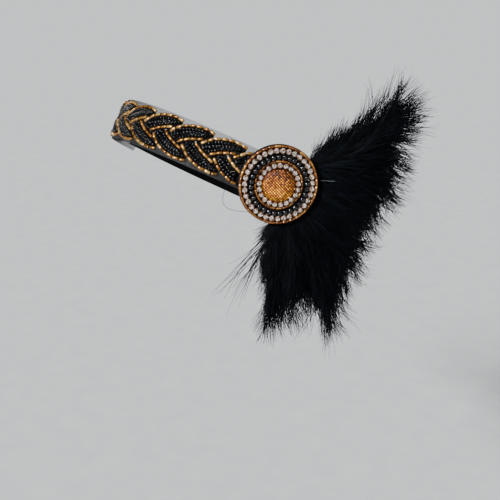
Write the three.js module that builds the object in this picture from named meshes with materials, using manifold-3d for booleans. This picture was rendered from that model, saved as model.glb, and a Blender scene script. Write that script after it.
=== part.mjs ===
// Flapper headband: a plait of beads sewn on a net band, an elastic back, a round
// stone medallion over the left temple and two marabou plumes held behind it.
// Millimetres, +Z up. The wearer looks along -Y, and the wearer's left is +X.
// The origin is the middle of the worn loop.
// On the band, "along" runs round the loop from the middle of the brow to the
// wearer's left, "across" runs up the band, and "lift" runs out of its face.

import * as THREE from 'three';
import { mergeVertices } from 'three/addons/utils/BufferGeometryUtils.js';
import Module from 'manifold-3d';

const wasm = await Module();
wasm.setup();

// Loop
const LOOP_HALF_WIDTH = 78;
const LOOP_HALF_LENGTH = 94;
const LOOP_TILT = THREE.MathUtils.degToRad(32);
const SEAT_GAP = 0.3;

// Net band and elastic back
const NET_WIDTH = 26;
const NET_WALL = 1;
const NET_LEFT_END = 112;
const NET_RIGHT_END = -97;
const NET_STEPS = 40;
const ELASTIC_WIDTH = 20;
const ELASTIC_WALL = 1.2;
const ELASTIC_LAP = 12;
const ELASTIC_STEPS = 44;

// Plait: leaf number 1 is the one nearest the medallion, and lower leaves
// are the upper ones mirrored and moved by half a pitch.
const LEAF_COUNT = 8;
const LEAF_PITCH = 20.4;
const FIRST_UPPER_LEAF = 72.5;
const FIRST_LOWER_LEAF = FIRST_UPPER_LEAF - LEAF_PITCH / 2;
const BUGLE_RADIUS = 0.85;
const BUGLE_SIDES = 6;
const OUTER_EDGE_BUGLES = 7;
const INNER_EDGE_BUGLES = 4;
const PAD_HEIGHT = 1.9;
const PAD_CROWN = 0.5;
const PAD_EDGE_GAP = 0.45;
const PAD_STEPS = 6;

// One leaf of the plait, measured from the start of its inner edge.
const OUTER_EDGE = [
  { along: -7.0, across: 2.2 },
  { along: -4.7, across: 4.5 },
  { along: -1.2, across: 7.4 },
  { along: 3.0, across: 9.4 },
  { along: 8.0, across: 10.8 },
  { along: 13.0, across: 11.2 },
  { along: 16.5, across: 10.9 },
  { along: 19.2, across: 10.1 },
];
const INNER_EDGE = [
  { along: 0.2, across: -1.5 },
  { along: 4.0, across: 1.0 },
  { along: 8.0, across: 2.9 },
  { along: 11.0, across: 4.0 },
  { along: 13.8, across: 5.2 },
];
const PAD_FOOT = [
  { along: -6.0, across: 0.9 },
  { along: -4.0, across: -0.4 },
  { along: -1.3, across: -1.3 },
  { along: 1.0, across: 0.6 },
  { along: 4.0, across: 2.6 },
  { along: 8.0, across: 4.4 },
  { along: 12.0, across: 6.0 },
  { along: 15.0, across: 7.3 },
  { along: 17.8, across: 8.5 },
];

// Medallion: where it sits on the band and which way its face looks.
const MEDALLION_ALONG = 94.8;
const MEDALLION_ACROSS = -0.8;
const MEDALLION_LIFT = 4.0;
const MEDALLION_AZIMUTH = THREE.MathUtils.degToRad(60);
const MEDALLION_ELEVATION = THREE.MathUtils.degToRad(6);
const FELT_RADIUS = 23.8;
const FELT_WALL = 1.8;
const FELT_DOME = 1.2;
const FELT_SIDES = 40;

// Rings on the felt, each with the radius of its middle line.
const OUTER_BUGLE_RING = { radius: 22.8, bead: 0.8, count: 36 };
const OUTER_STONE_RING = { radius: 20.2, count: 35, stone: 1.5, table: 0.9 };
const BLACK_BEAD_RING = { radius: 16.7, bead: 1.75, count: 32 };
const INNER_BUGLE_RING = { radius: 14.0, bead: 0.65, count: 24 };
const INNER_STONE_RING = { radius: 11.75, count: 21, stone: 1.3, table: 0.8 };
const RING_BEAD_SIDES = 10;
const BEAD_END_SHARE = 0.74;
const STONE_FACETS = 8;
const CUP_HEIGHT = 1.4;
const CROWN_HEIGHT = 1.2;
const CROWN_SUNK = 0.2;
const CABOCHON_RADIUS = 10.1;
const CABOCHON_SIDES = 24;
const CABOCHON_PROFILE = [
  { radius: 0, height: 0 },
  { radius: 1, height: 0 },
  { radius: 1, height: 1.1 },
  { radius: 0.93, height: 2.2 },
  { radius: 0.72, height: 3.1 },
  { radius: 0.4, height: 3.6 },
  { radius: 0, height: 3.8 },
];

// Plumes, in the medallion's own frame: "back" runs towards the nape along the
// felt, "up" runs up the felt, and "out" is the height over the felt's back face.
const PLUME_SIDES = 8;
const LOCK_PROFILE = [
  { along: 0, share: 0 },
  { along: 0, share: 0.45 },
  { along: 0.16, share: 0.7 },
  { along: 0.4, share: 1 },
  { along: 0.68, share: 0.95 },
  { along: 0.88, share: 0.62 },
  { along: 1, share: 0 },
];
const LOCK_ROOT_DEPTH = 0.2;
const LOCK_SWELL_START = 0.18;
const LOCK_SWELL_END = 0.6;
const PARTING = { back: 8, up: 0, angle: THREE.MathUtils.degToRad(-42) };
const UPPER_HEAD = { back: [4, 15], up: [1, 11], out: -3 };
const LOWER_HEAD = { back: [1, 12], up: [-14, -1], out: -1.6 };
const UPPER_LOCKS = [
  { back: 76, up: 58, bow: -14, width: 8, depth: 7, out: -4 },
  { back: 84, up: 48, bow: -9, width: 8, depth: 8, out: -7 },
  { back: 83, up: 37, bow: -5, width: 9, depth: 8, out: -3 },
  { back: 81, up: 26, bow: -2, width: 9, depth: 8, out: -8 },
  { back: 80, up: 14, bow: 1, width: 9, depth: 8, out: -4 },
  { back: 79, up: 2, bow: 2, width: 9, depth: 8, out: -8 },
  { back: 76, up: -10, bow: 3, width: 9, depth: 7, out: -4 },
  { back: 71, up: -22, bow: 4, width: 9, depth: 7, out: -8 },
  { back: 62, up: -35, bow: 0, width: 9, depth: 6, out: -4 },
  { back: 40, up: 31, bow: -3, width: 5, depth: 4, out: -5 },
];
const LOWER_LOCKS = [
  { back: -13, up: -44, bow: 2, width: 5, depth: 3, out: -3 },
  { back: -9, up: -94, bow: -2, width: 7, depth: 6, out: -4 },
  { back: 0, up: -92, bow: -1, width: 7, depth: 7, out: -8 },
  { back: 10, up: -88, bow: 0, width: 7, depth: 7, out: -3 },
  { back: 21, up: -82, bow: 1, width: 8, depth: 7, out: -8 },
  { back: 35, up: -104, bow: 3, width: 8, depth: 7, out: -4 },
  { back: 41, up: -84, bow: 5, width: 8, depth: 7, out: -8 },
  { back: 46, up: -68, bow: 5, width: 8, depth: 7, out: -4 },
  { back: 54, up: -54, bow: 4, width: 8, depth: 6, out: -7 },
];

// Finishes
const BLACK_NET = finish(0x1b1b1d, 0.9, 0);
const BLACK_ELASTIC = finish(0x141416, 0.85, 0);
const BLACK_FELT = finish(0x111112, 0.95, 0);
const BLACK_GLASS = finish(0x0b0b0d, 0.15, 0);
const GOLD_BUGLE = finish(0xb4813a, 0.25, 0.8);
const CLEAR_STONE = finish(0xe6dcd4, 0.08, 0.1);
const GOLD_FOIL = finish(0xc8852f, 0.3, 0.6);
const BLACK_MARABOU = finish(0x08090b, 0.8, 0);

function finish(color, roughness, metalness) {
  return new THREE.MeshStandardMaterial({ color, roughness, metalness });
}

// Welds a closed shape's corners, and turns it right side out if it was mirrored.
function welded(shape) {
  const bare = new THREE.BufferGeometry();
  bare.setAttribute('position', shape.attributes.position);
  bare.setIndex(shape.index);
  const mesh = mergeVertices(bare);
  const corners = mesh.index.array;
  const point = (i) => new THREE.Vector3().fromBufferAttribute(mesh.attributes.position, corners[i]);
  let volume = 0;
  const kept = [];
  for (let i = 0; i < corners.length; i += 3) {
    const triangle = [corners[i], corners[i + 1], corners[i + 2]];
    if (new Set(triangle).size === 3) {
      kept.push(triangle);
      volume += point(i).dot(point(i + 1).cross(point(i + 2)));
    }
  }
  const outward = kept.map(([a, b, c]) => (volume < 0 ? [a, c, b] : [a, b, c]));
  mesh.setIndex(outward.flat());
  return mesh;
}

function solidOf(shape) {
  const mesh = welded(shape);
  return new wasm.Manifold(new wasm.Mesh({
    numProp: 3,
    vertProperties: new Float32Array(mesh.attributes.position.array),
    triVerts: new Uint32Array(mesh.index.array),
  }));
}

function shapeOf(solid) {
  const mesh = solid.getMesh();
  const shape = new THREE.BufferGeometry();
  shape.setAttribute('position', new THREE.BufferAttribute(mesh.vertProperties, mesh.numProp));
  shape.setIndex(new THREE.BufferAttribute(mesh.triVerts, 1));
  return shape;
}

function fused(shapes) {
  const joined = shapes.map(solidOf).reduce((whole, next) => whole.add(next));
  return shapeOf(joined);
}

function addPiece(group, name, shape, material) {
  const piece = new THREE.Mesh(shape, material);
  piece.name = name;
  group.add(piece);
}

// The loop is an ellipse, and this table holds its length from the brow onwards.
const ARC_STEPS = 1440;
const ARC_LENGTHS = [0];
for (let i = 1; i <= ARC_STEPS; i++) {
  const angle = ((i - 0.5) / ARC_STEPS) * 2 * Math.PI;
  const speed = Math.hypot(LOOP_HALF_WIDTH * Math.cos(angle), LOOP_HALF_LENGTH * Math.sin(angle));
  ARC_LENGTHS.push(ARC_LENGTHS[i - 1] + (speed * 2 * Math.PI) / ARC_STEPS);
}
const LOOP_LENGTH = ARC_LENGTHS[ARC_STEPS];

function loopAngle(along) {
  const distance = Math.abs(along);
  const next = Math.max(1, ARC_LENGTHS.findIndex((length) => length >= distance));
  const step = ARC_LENGTHS[next] - ARC_LENGTHS[next - 1];
  const place = next - 1 + (distance - ARC_LENGTHS[next - 1]) / step;
  return Math.sign(along) * (place / ARC_STEPS) * 2 * Math.PI;
}

const TILT_AXIS = new THREE.Vector3(1, 0, 0);

function bandPoint(along, across, lift) {
  const angle = loopAngle(along);
  const face = new THREE.Vector2(Math.sin(angle) / LOOP_HALF_WIDTH, -Math.cos(angle) / LOOP_HALF_LENGTH);
  face.setLength(lift);
  const side = LOOP_HALF_WIDTH * Math.sin(angle) + face.x;
  const front = -LOOP_HALF_LENGTH * Math.cos(angle) + face.y;
  return new THREE.Vector3(side, front, across).applyAxisAngle(TILT_AXIS, -LOOP_TILT);
}

// How far a point lies outside the loop's middle line, true close to the band.
function liftOf(point) {
  const flat = point.clone().applyAxisAngle(TILT_AXIS, LOOP_TILT);
  const level = (flat.x / LOOP_HALF_WIDTH) ** 2 + (flat.y / LOOP_HALF_LENGTH) ** 2 - 1;
  const slope = 2 * Math.hypot(flat.x / LOOP_HALF_WIDTH ** 2, flat.y / LOOP_HALF_LENGTH ** 2);
  return level / slope;
}

// Bends a box on to the band: place gives the band's values for shares of the box.
function bentOnBand(lengthSteps, widthSteps, place) {
  const box = new THREE.BoxGeometry(1, 1, 1, lengthSteps, widthSteps, 1);
  const position = box.attributes.position;
  for (let i = 0; i < position.count; i++) {
    const share = new THREE.Vector3().fromBufferAttribute(position, i).addScalar(0.5);
    const { along, across, lift } = place(share.x, share.y, share.z);
    const point = bandPoint(along, across, lift);
    position.setXYZ(i, point.x, point.y, point.z);
  }
  return welded(box);
}

function strip({ start, end, width, wall, middle, steps }) {
  return bentOnBand(steps, 1, (x, y, z) => ({
    along: THREE.MathUtils.lerp(start, end, x),
    across: (y - 0.5) * width,
    lift: middle + (z - 0.5) * wall,
  }));
}

function netBand() {
  return strip({
    start: NET_RIGHT_END,
    end: NET_LEFT_END,
    width: NET_WIDTH,
    wall: NET_WALL,
    middle: 0,
    steps: NET_STEPS,
  });
}

// The elastic laps inside both ends of the net and goes round the back.
function backElastic() {
  return strip({
    start: NET_LEFT_END - ELASTIC_LAP,
    end: LOOP_LENGTH + NET_RIGHT_END + ELASTIC_LAP,
    width: ELASTIC_WIDTH,
    wall: ELASTIC_WALL,
    middle: -(NET_WALL + ELASTIC_WALL) / 2 - SEAT_GAP,
    steps: ELASTIC_STEPS,
  });
}

function acrossAt(table, along) {
  const found = table.findIndex((row) => row.along >= along);
  const next = found < 1 ? (found === 0 ? 1 : table.length - 1) : found;
  const from = table[next - 1];
  const to = table[next];
  const slope = (to.across - from.across) / (to.along - from.along);
  return { across: from.across + slope * (along - from.along), slope };
}

const FACE_SEAT = NET_WALL / 2 + SEAT_GAP;

// A string of bugles along one edge of a leaf. Side is 1 for upper and -1 for lower leaves.
function bugleEdge(table, bugles, start, side) {
  const line = new THREE.SplineCurve(table.map((row) => new THREE.Vector2(row.along, row.across)));
  const places = line.getSpacedPoints(bugles);
  const lift = FACE_SEAT + BUGLE_RADIUS;
  const points = places.map((place) => bandPoint(start + place.x, side * place.y, lift));
  const path = new THREE.CatmullRomCurve3(points);
  const section = new THREE.Shape(ringOfPoints(BUGLE_RADIUS, BUGLE_SIDES));
  return welded(new THREE.ExtrudeGeometry(section, { steps: bugles, extrudePath: path }));
}

function ringOfPoints(radius, sides) {
  const turns = Array.from({ length: sides }, (_, i) => (i / sides) * 2 * Math.PI);
  return turns.map((turn) => new THREE.Vector2(radius * Math.cos(turn), radius * Math.sin(turn)));
}

// The field of seed beads between the two edges, crowned along its middle.
function leafPad(start, side) {
  const tail = PAD_FOOT[0].along;
  const tip = PAD_FOOT[PAD_FOOT.length - 1].along;
  return bentOnBand(PAD_STEPS, 2, (x, y, z) => {
    const along = THREE.MathUtils.lerp(tail, tip, x);
    const foot = acrossAt(PAD_FOOT, along).across;
    const edge = acrossAt(OUTER_EDGE, along);
    const inset = (BUGLE_RADIUS + PAD_EDGE_GAP) * Math.hypot(1, edge.slope);
    const crown = PAD_CROWN * 4 * y * (1 - y);
    return {
      along: start + along,
      across: side * THREE.MathUtils.lerp(foot, edge.across - inset, y),
      lift: FACE_SEAT + z * (PAD_HEIGHT + crown),
    };
  });
}

// The medallion's frame: X runs back along the felt, Y up it and Z out of its face.
const FELT_OUT = new THREE.Vector3(
  Math.sin(MEDALLION_AZIMUTH) * Math.cos(MEDALLION_ELEVATION),
  -Math.cos(MEDALLION_AZIMUTH) * Math.cos(MEDALLION_ELEVATION),
  Math.sin(MEDALLION_ELEVATION),
);
const FELT_BACK = new THREE.Vector3(Math.cos(MEDALLION_AZIMUTH), Math.sin(MEDALLION_AZIMUTH), 0);
const FELT_UP = new THREE.Vector3().crossVectors(FELT_OUT, FELT_BACK);
const FELT_FRAME = new THREE.Matrix4().makeBasis(FELT_BACK, FELT_UP, FELT_OUT);
FELT_FRAME.setPosition(bandPoint(MEDALLION_ALONG, MEDALLION_ACROSS, MEDALLION_LIFT));

// The felt covers the plait's end, so leaves that reach it stop at its rim.
function cutAtFelt(shape) {
  const reach = 4 * FELT_RADIUS;
  const rim = new THREE.CylinderGeometry(FELT_RADIUS + SEAT_GAP, FELT_RADIUS + SEAT_GAP, reach, FELT_SIDES);
  rim.rotateX(Math.PI / 2);
  rim.applyMatrix4(FELT_FRAME);
  return shapeOf(solidOf(shape).subtract(solidOf(rim)));
}

function addLeaf(group, name, start, side) {
  const underFelt = start > MEDALLION_ALONG - FELT_RADIUS - LEAF_PITCH;
  const trim = underFelt ? cutAtFelt : (shape) => shape;
  const outer = bugleEdge(OUTER_EDGE, OUTER_EDGE_BUGLES, start, side);
  addPiece(group, `leaf_${name}`, trim(leafPad(start, side)), BLACK_GLASS);
  addPiece(group, `outer_edge_${name}`, trim(outer), GOLD_BUGLE);
  if (start < MEDALLION_ALONG - FELT_RADIUS) {
    const inner = bugleEdge(INNER_EDGE, INNER_EDGE_BUGLES, start, side);
    addPiece(group, `inner_edge_${name}`, trim(inner), GOLD_BUGLE);
  }
}

function addPlait(group) {
  for (let leaf = 0; leaf < LEAF_COUNT; leaf++) {
    const number = String(leaf + 1).padStart(2, '0');
    addLeaf(group, `upper_${number}`, FIRST_UPPER_LEAF - leaf * LEAF_PITCH, 1);
    addLeaf(group, `lower_${number}`, FIRST_LOWER_LEAF - leaf * LEAF_PITCH, -1);
  }
}

function turned(profile, sides) {
  const points = profile.map(({ radius, height }) => new THREE.Vector2(radius, height));
  return welded(new THREE.LatheGeometry(points, sides).rotateX(Math.PI / 2));
}

function feltFace(radius) {
  return FELT_WALL + FELT_DOME * (1 - (radius / FELT_RADIUS) ** 2);
}

function medallionFelt() {
  const rings = [1, 0.75, 0.5, 0.25, 0].map((share) => share * FELT_RADIUS);
  const face = rings.map((radius) => ({ radius, height: feltFace(radius) }));
  return turned([{ radius: 0, height: 0 }, { radius: FELT_RADIUS, height: 0 }, ...face], FELT_SIDES);
}

function bugleRing({ radius, bead, count }) {
  const ring = new THREE.TorusGeometry(radius, bead, BUGLE_SIDES, count);
  ring.translate(0, 0, feltFace(radius - bead) + SEAT_GAP + bead);
  return welded(ring);
}

// Beads strung on a ring: a torus whose every second section is pinched to a bead's end.
function blackBeadRing({ radius, bead, count }) {
  const ring = new THREE.TorusGeometry(radius, bead, RING_BEAD_SIDES, 2 * count);
  const position = ring.attributes.position;
  const sectionCount = 2 * count + 1;
  for (let i = 0; i < position.count; i++) {
    const section = i % sectionCount;
    const turn = (section / (2 * count)) * 2 * Math.PI;
    const middle = new THREE.Vector3(radius * Math.cos(turn), radius * Math.sin(turn), 0);
    const point = new THREE.Vector3().fromBufferAttribute(position, i);
    point.sub(middle).multiplyScalar(section % 2 === 0 ? BEAD_END_SHARE : 1).add(middle);
    position.setXYZ(i, point.x, point.y, point.z);
  }
  ring.translate(0, 0, feltFace(radius - bead) + SEAT_GAP + bead);
  return welded(ring);
}

// Faceted stones, each with its table, fused to the cup chain that holds them.
function stoneRing({ radius, count, stone, table }) {
  const base = feltFace(radius - stone) + SEAT_GAP;
  const chain = turned([
    { radius: radius - stone, height: base },
    { radius: radius + stone, height: base },
    { radius: radius + stone, height: base + CUP_HEIGHT },
    { radius: radius - stone, height: base + CUP_HEIGHT },
    { radius: radius - stone, height: base },
  ], count);
  const stones = [];
  for (let i = 0; i < count; i++) {
    const crown = new THREE.CylinderGeometry(table, stone, CROWN_HEIGHT + CROWN_SUNK, STONE_FACETS);
    crown.rotateX(Math.PI / 2);
    crown.translate(radius, 0, base + CUP_HEIGHT + (CROWN_HEIGHT - CROWN_SUNK) / 2);
    crown.rotateZ(((i + 0.5) / count) * 2 * Math.PI);
    stones.push(crown);
  }
  return fused([chain, ...stones]);
}

function centreCabochon() {
  const base = feltFace(0) + SEAT_GAP;
  const profile = CABOCHON_PROFILE.map(({ radius, height }) => ({
    radius: radius * CABOCHON_RADIUS,
    height: base + height,
  }));
  return turned(profile, CABOCHON_SIDES);
}

// Room behind the felt: how far below its back face the net's seat lies.
function seatDepth(back, up) {
  let near = 0;
  let far = FELT_RADIUS;
  for (let i = 0; i < 30; i++) {
    const depth = (near + far) / 2;
    const point = new THREE.Vector3(back, up, -depth).applyMatrix4(FELT_FRAME);
    if (liftOf(point) > FACE_SEAT) {
      near = depth;
    } else {
      far = depth;
    }
  }
  return near;
}

// The bound quills of a plume: a pad that fills the room between the net and the felt.
function plumeHead({ back, up }) {
  const pad = new THREE.BoxGeometry(1, 1, 1, 3, 2, 1);
  const position = pad.attributes.position;
  for (let i = 0; i < position.count; i++) {
    const share = new THREE.Vector3().fromBufferAttribute(position, i).addScalar(0.5);
    const x = THREE.MathUtils.lerp(back[0], back[1], share.x);
    const y = THREE.MathUtils.lerp(up[0], up[1], share.y);
    const floor = -seatDepth(x, y);
    position.setXYZ(i, x, y, share.z < 0.5 ? floor : -SEAT_GAP);
  }
  return welded(pad);
}

// One lock: a spindle bent from the head to its tip, thin under the felt and full beyond it.
function plumeLock(head, lock) {
  const rootBack = (head.back[0] + head.back[1]) / 2;
  const rootUp = (head.up[0] + head.up[1]) / 2;
  const root = new THREE.Vector3(rootBack, rootUp, head.out);
  const tip = new THREE.Vector3(lock.back, lock.up, lock.out);
  const course = tip.clone().sub(root).setZ(0).normalize();
  const aside = new THREE.Vector3(-course.y, course.x, 0);
  const bend = root.clone().lerp(tip, 0.5).addScaledVector(aside, 2 * lock.bow);
  const path = new THREE.QuadraticBezierCurve3(root, bend, tip);
  const outline = LOCK_PROFILE.map(({ along, share }) => new THREE.Vector2(share, along));
  const spindle = new THREE.LatheGeometry(outline, PLUME_SIDES);
  const position = spindle.attributes.position;
  for (let i = 0; i < position.count; i++) {
    const along = position.getY(i);
    const tangent = path.getTangent(along);
    const side = new THREE.Vector3(-tangent.y, tangent.x, 0).normalize();
    const swell = THREE.MathUtils.smoothstep(along, LOCK_SWELL_START, LOCK_SWELL_END);
    const depth = lock.depth * THREE.MathUtils.lerp(LOCK_ROOT_DEPTH, 1, swell);
    const point = path.getPoint(along).addScaledVector(side, position.getX(i) * lock.width);
    const out = THREE.MathUtils.lerp(root.z, lock.out, swell);
    position.setXYZ(i, point.x, point.y, out + position.getZ(i) * depth);
  }
  return welded(spindle);
}

// The plumes part along a slanted plane, and side says which side of it a plume keeps.
function plume(head, locks, side) {
  const whole = fused([plumeHead(head), ...locks.map((lock) => plumeLock(head, lock))]);
  const reach = 10 * FELT_RADIUS;
  const other = new THREE.BoxGeometry(reach, reach, reach);
  other.translate(0, (-side * (reach - SEAT_GAP)) / 2, 0);
  other.rotateZ(PARTING.angle);
  other.translate(PARTING.back, PARTING.up, 0);
  return shapeOf(solidOf(whole).subtract(solidOf(other)));
}

function addMedallion(group) {
  addPiece(group, 'medallion_felt', medallionFelt(), BLACK_FELT);
  addPiece(group, 'outer_bugle_ring', bugleRing(OUTER_BUGLE_RING), GOLD_BUGLE);
  addPiece(group, 'outer_stone_ring', stoneRing(OUTER_STONE_RING), CLEAR_STONE);
  addPiece(group, 'black_bead_ring', blackBeadRing(BLACK_BEAD_RING), BLACK_GLASS);
  addPiece(group, 'inner_bugle_ring', bugleRing(INNER_BUGLE_RING), GOLD_BUGLE);
  addPiece(group, 'inner_stone_ring', stoneRing(INNER_STONE_RING), CLEAR_STONE);
  addPiece(group, 'centre_cabochon', centreCabochon(), GOLD_FOIL);
  addPiece(group, 'plume_upper', plume(UPPER_HEAD, UPPER_LOCKS, 1), BLACK_MARABOU);
  addPiece(group, 'plume_lower', plume(LOWER_HEAD, LOWER_LOCKS, -1), BLACK_MARABOU);
}

const headband = new THREE.Group();
addPiece(headband, 'net_band', netBand(), BLACK_NET);
addPiece(headband, 'back_elastic', backElastic(), BLACK_ELASTIC);
addPlait(headband);

const medallion = new THREE.Group();
medallion.applyMatrix4(FELT_FRAME);
addMedallion(medallion);
headband.add(medallion);

export default headband;
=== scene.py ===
# %% [markdown]
# # Flapper headband
# A strip of black tulle is embroidered with a three-strand plait of glass beads, and black elastic
# closes the loop at the nape. At one temple a beaded medallion on black felt holds two black
# marabou plumes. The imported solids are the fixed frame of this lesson. Each finished piece below
# takes the place of the plain solid that it stands for, at the same size and in the same place.

import math

import bpy
import numpy as np
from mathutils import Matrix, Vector


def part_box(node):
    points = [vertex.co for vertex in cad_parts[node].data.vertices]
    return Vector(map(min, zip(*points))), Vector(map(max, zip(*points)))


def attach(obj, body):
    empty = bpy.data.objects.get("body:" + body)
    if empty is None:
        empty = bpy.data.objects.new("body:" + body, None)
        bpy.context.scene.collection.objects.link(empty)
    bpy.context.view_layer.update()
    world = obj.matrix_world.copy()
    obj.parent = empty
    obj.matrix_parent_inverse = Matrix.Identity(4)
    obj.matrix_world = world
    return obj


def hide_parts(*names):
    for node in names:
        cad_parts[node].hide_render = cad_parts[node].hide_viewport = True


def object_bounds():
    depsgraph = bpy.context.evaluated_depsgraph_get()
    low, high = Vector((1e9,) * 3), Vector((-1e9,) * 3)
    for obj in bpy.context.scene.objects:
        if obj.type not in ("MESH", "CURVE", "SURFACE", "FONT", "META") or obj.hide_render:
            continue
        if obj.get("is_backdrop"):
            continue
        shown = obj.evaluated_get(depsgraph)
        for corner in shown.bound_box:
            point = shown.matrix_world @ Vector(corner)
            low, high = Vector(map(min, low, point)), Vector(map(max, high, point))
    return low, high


MM = 0.001

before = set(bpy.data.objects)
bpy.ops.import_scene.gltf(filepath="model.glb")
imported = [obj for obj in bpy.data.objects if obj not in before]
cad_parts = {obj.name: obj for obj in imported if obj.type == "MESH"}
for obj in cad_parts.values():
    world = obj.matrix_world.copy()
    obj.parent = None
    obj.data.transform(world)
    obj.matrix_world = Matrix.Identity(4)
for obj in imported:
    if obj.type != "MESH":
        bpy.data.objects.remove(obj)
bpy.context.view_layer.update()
print("solids in the frame:", len(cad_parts))

# %% [markdown]
# ## Camera and lamps
# The camera stands in front of the wearer's left temple and a little above it. A long lens keeps
# the medallion round. Lamps close by would fade across the floor, so two distant soft ones are
# used. They light it evenly and draw one clear highlight on every bead, because glass shows only
# what it mirrors.

# %% Camera
VIEW_TURN = math.radians(50)
VIEW_RISE = math.radians(18)
VIEW_DISTANCE = 0.620
AIM_RIGHT = 0.005255
AIM_UP = -0.050046
FOCAL_LENGTH = 65.88
SENSOR_WIDTH = 36

view_back = Vector((
    math.sin(VIEW_TURN) * math.cos(VIEW_RISE),
    -math.cos(VIEW_TURN) * math.cos(VIEW_RISE),
    math.sin(VIEW_RISE),
))
view_right = Vector((math.cos(VIEW_TURN), math.sin(VIEW_TURN), 0))
view_up = view_back.cross(view_right)
aim = view_right * AIM_RIGHT + view_up * AIM_UP


def place_in_scene(name, data, place, target):
    """Puts a camera or a lamp at a place and points it at a target."""
    thing = bpy.data.objects.new(name, data)
    thing.location = place
    thing.rotation_euler = (Vector(target) - Vector(place)).to_track_quat("-Z", "Y").to_euler()
    bpy.context.scene.collection.objects.link(thing)
    return thing


camera_data = bpy.data.cameras.new("camera")
camera_data.lens = FOCAL_LENGTH
camera_data.sensor_width = SENSOR_WIDTH
camera_data.clip_start = 0.01
camera = place_in_scene("camera", camera_data, view_back * VIEW_DISTANCE, aim)
bpy.context.scene.camera = camera
print("camera at", [round(v, 3) for v in camera.location])

# %% Studio lamps
LAMPS = [
    {"name": "window", "place": (0.22, -0.84, 0.58), "spread": 12, "strength": 12.0},
    {"name": "side", "place": (0.95, 0.15, 0.5), "spread": 35, "strength": 0.6},
]

for lamp in LAMPS:
    lamp_data = bpy.data.lights.new(lamp["name"], "SUN")
    lamp_data.angle = math.radians(lamp["spread"])
    lamp_data.energy = lamp["strength"]
    place_in_scene(lamp["name"], lamp_data, lamp["place"], (0, 0, 0))
print("lamps:", len(LAMPS))

# %% [markdown]
# ## Colours, nodes and meshes
# Colours are written as the hex values that a screen shows and turned to the linear values that
# shaders use. One function adds a node to a shader tree or to a Geometry Nodes tree: a socket gets
# a plain value, or a link when the value is another node's socket. Most finishes end alike, with a
# ramp that colours a shader, so that ending is written once.


# %% Colour and node helpers
def linear(code):
    """An sRGB hex value as the linear colour with alpha that a shader reads."""
    shares = [int(code[i:i + 2], 16) / 255 for i in (1, 3, 5)]
    return [s / 12.92 if s <= 0.04045 else ((s + 0.055) / 1.055) ** 2.4 for s in shares] + [1.0]


def add(tree, kind, sockets=None, stops=None, **settings):
    """Adds a node, with its settings, its socket values or links, and a colour ramp's stops."""
    node = tree.nodes.new(kind)
    for name, value in settings.items():
        setattr(node, name, value)
    for key, value in (sockets or {}).items():
        if isinstance(value, bpy.types.NodeSocket):
            tree.links.new(value, node.inputs[key])
        else:
            node.inputs[key].default_value = value
    if stops:
        ramp = node.color_ramp.elements
        while len(ramp) < len(stops):
            ramp.new(1.0)
        for element, (position, code) in zip(ramp, stops):
            element.position = position
            element.color = linear(code)
    return node


def new_finish(name):
    """An empty material and its node tree."""
    finish = bpy.data.materials.new(name)
    finish.use_nodes = True
    finish.node_tree.nodes.clear()
    return finish, finish.node_tree


def end_finish(tree, share, stops, surface):
    """Ends a finish: a share from 0 to 1 picks the colour of a shader with these other sockets."""
    tone = add(tree, "ShaderNodeValToRGB", {"Fac": share}, stops=stops)
    shader = add(tree, "ShaderNodeBsdfPrincipled", {"Base Color": tone.outputs["Color"], **surface})
    add(tree, "ShaderNodeOutputMaterial", {"Surface": shader.outputs["BSDF"]})


print("black as a shader reads it:", linear("#000000"))


# %% Mesh helpers
def new_mesh(name, points, faces=(), edges=()):
    """A mesh from points in metres."""
    mesh = bpy.data.meshes.new(name)
    mesh.from_pydata(np.reshape(points, (-1, 3)).tolist(), edges, faces)
    return mesh


def new_piece(name, mesh):
    """A mesh as an object at the origin."""
    piece = bpy.data.objects.new(name, mesh)
    bpy.context.scene.collection.objects.link(piece)
    return piece


def smooth_piece(name, points, faces, finish):
    """A piece with soft shading and one finish."""
    mesh = new_mesh(name, points, faces)
    mesh.materials.append(finish)
    mesh.polygons.foreach_set("use_smooth", [True] * len(mesh.polygons))
    return new_piece(name, mesh)


print("meshes so far:", len(bpy.data.meshes))

# %% [markdown]
# ## Floor and room
# The floor is matt paper that reaches past the frame. Its grey is a middle one, because the strong
# window lamp that the beads need makes it look pale. The room itself stays dim, so that black glass
# looks black.

# %% Floor and room
# Uncoated paper is felted fibre, quite matt. Its cloudiness is drawn coarse enough to show.
PAPER_CLOUD = 25.0
FLOOR_LEVEL = -0.45
FLOOR_HALF = 25.0
FLOOR_CORNERS = ((-1, -1), (1, -1), (1, 1), (-1, 1))

paper, tree = new_finish("matt_paper")
places = add(tree, "ShaderNodeTexCoord")
fibre = add(tree, "ShaderNodeTexNoise",
            {"Vector": places.outputs["Object"], "Scale": 1 / (PAPER_CLOUD * MM)})
end_finish(tree, fibre.outputs["Fac"], [(0.3, "#a1a3a5"), (0.7, "#a7a9aa")], {"Roughness": 0.95})

corners = [(x * FLOOR_HALF, y * FLOOR_HALF, FLOOR_LEVEL) for x, y in FLOOR_CORNERS]
floor = smooth_piece("floor", corners, [(0, 1, 2, 3)], paper)
floor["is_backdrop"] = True

room = bpy.data.worlds.new("room")
room.use_nodes = True
room.node_tree.nodes["Background"].inputs["Color"].default_value = linear("#c9ccce")
room.node_tree.nodes["Background"].inputs["Strength"].default_value = 0.25
bpy.context.scene.world = room
print("floor at", FLOOR_LEVEL)

# %% [markdown]
# ## Where things lie
# The loop is an ellipse that tilts down to the nape. A place on it is given in millimetres:
# "along" from the middle of the brow towards the wearer's left, "across" up the strip, and "lift"
# out from its middle. The medallion has its own frame: "back" and "up" along the felt, and "out"
# from the felt's back face. Two functions turn such places into metres in the shared frame.

# %% Places on the band
LOOP_HALF_WIDTH = 78.0
LOOP_HALF_DEPTH = 94.0
LOOP_TILT = math.radians(32)
LOOP_STEPS = 7201

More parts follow.
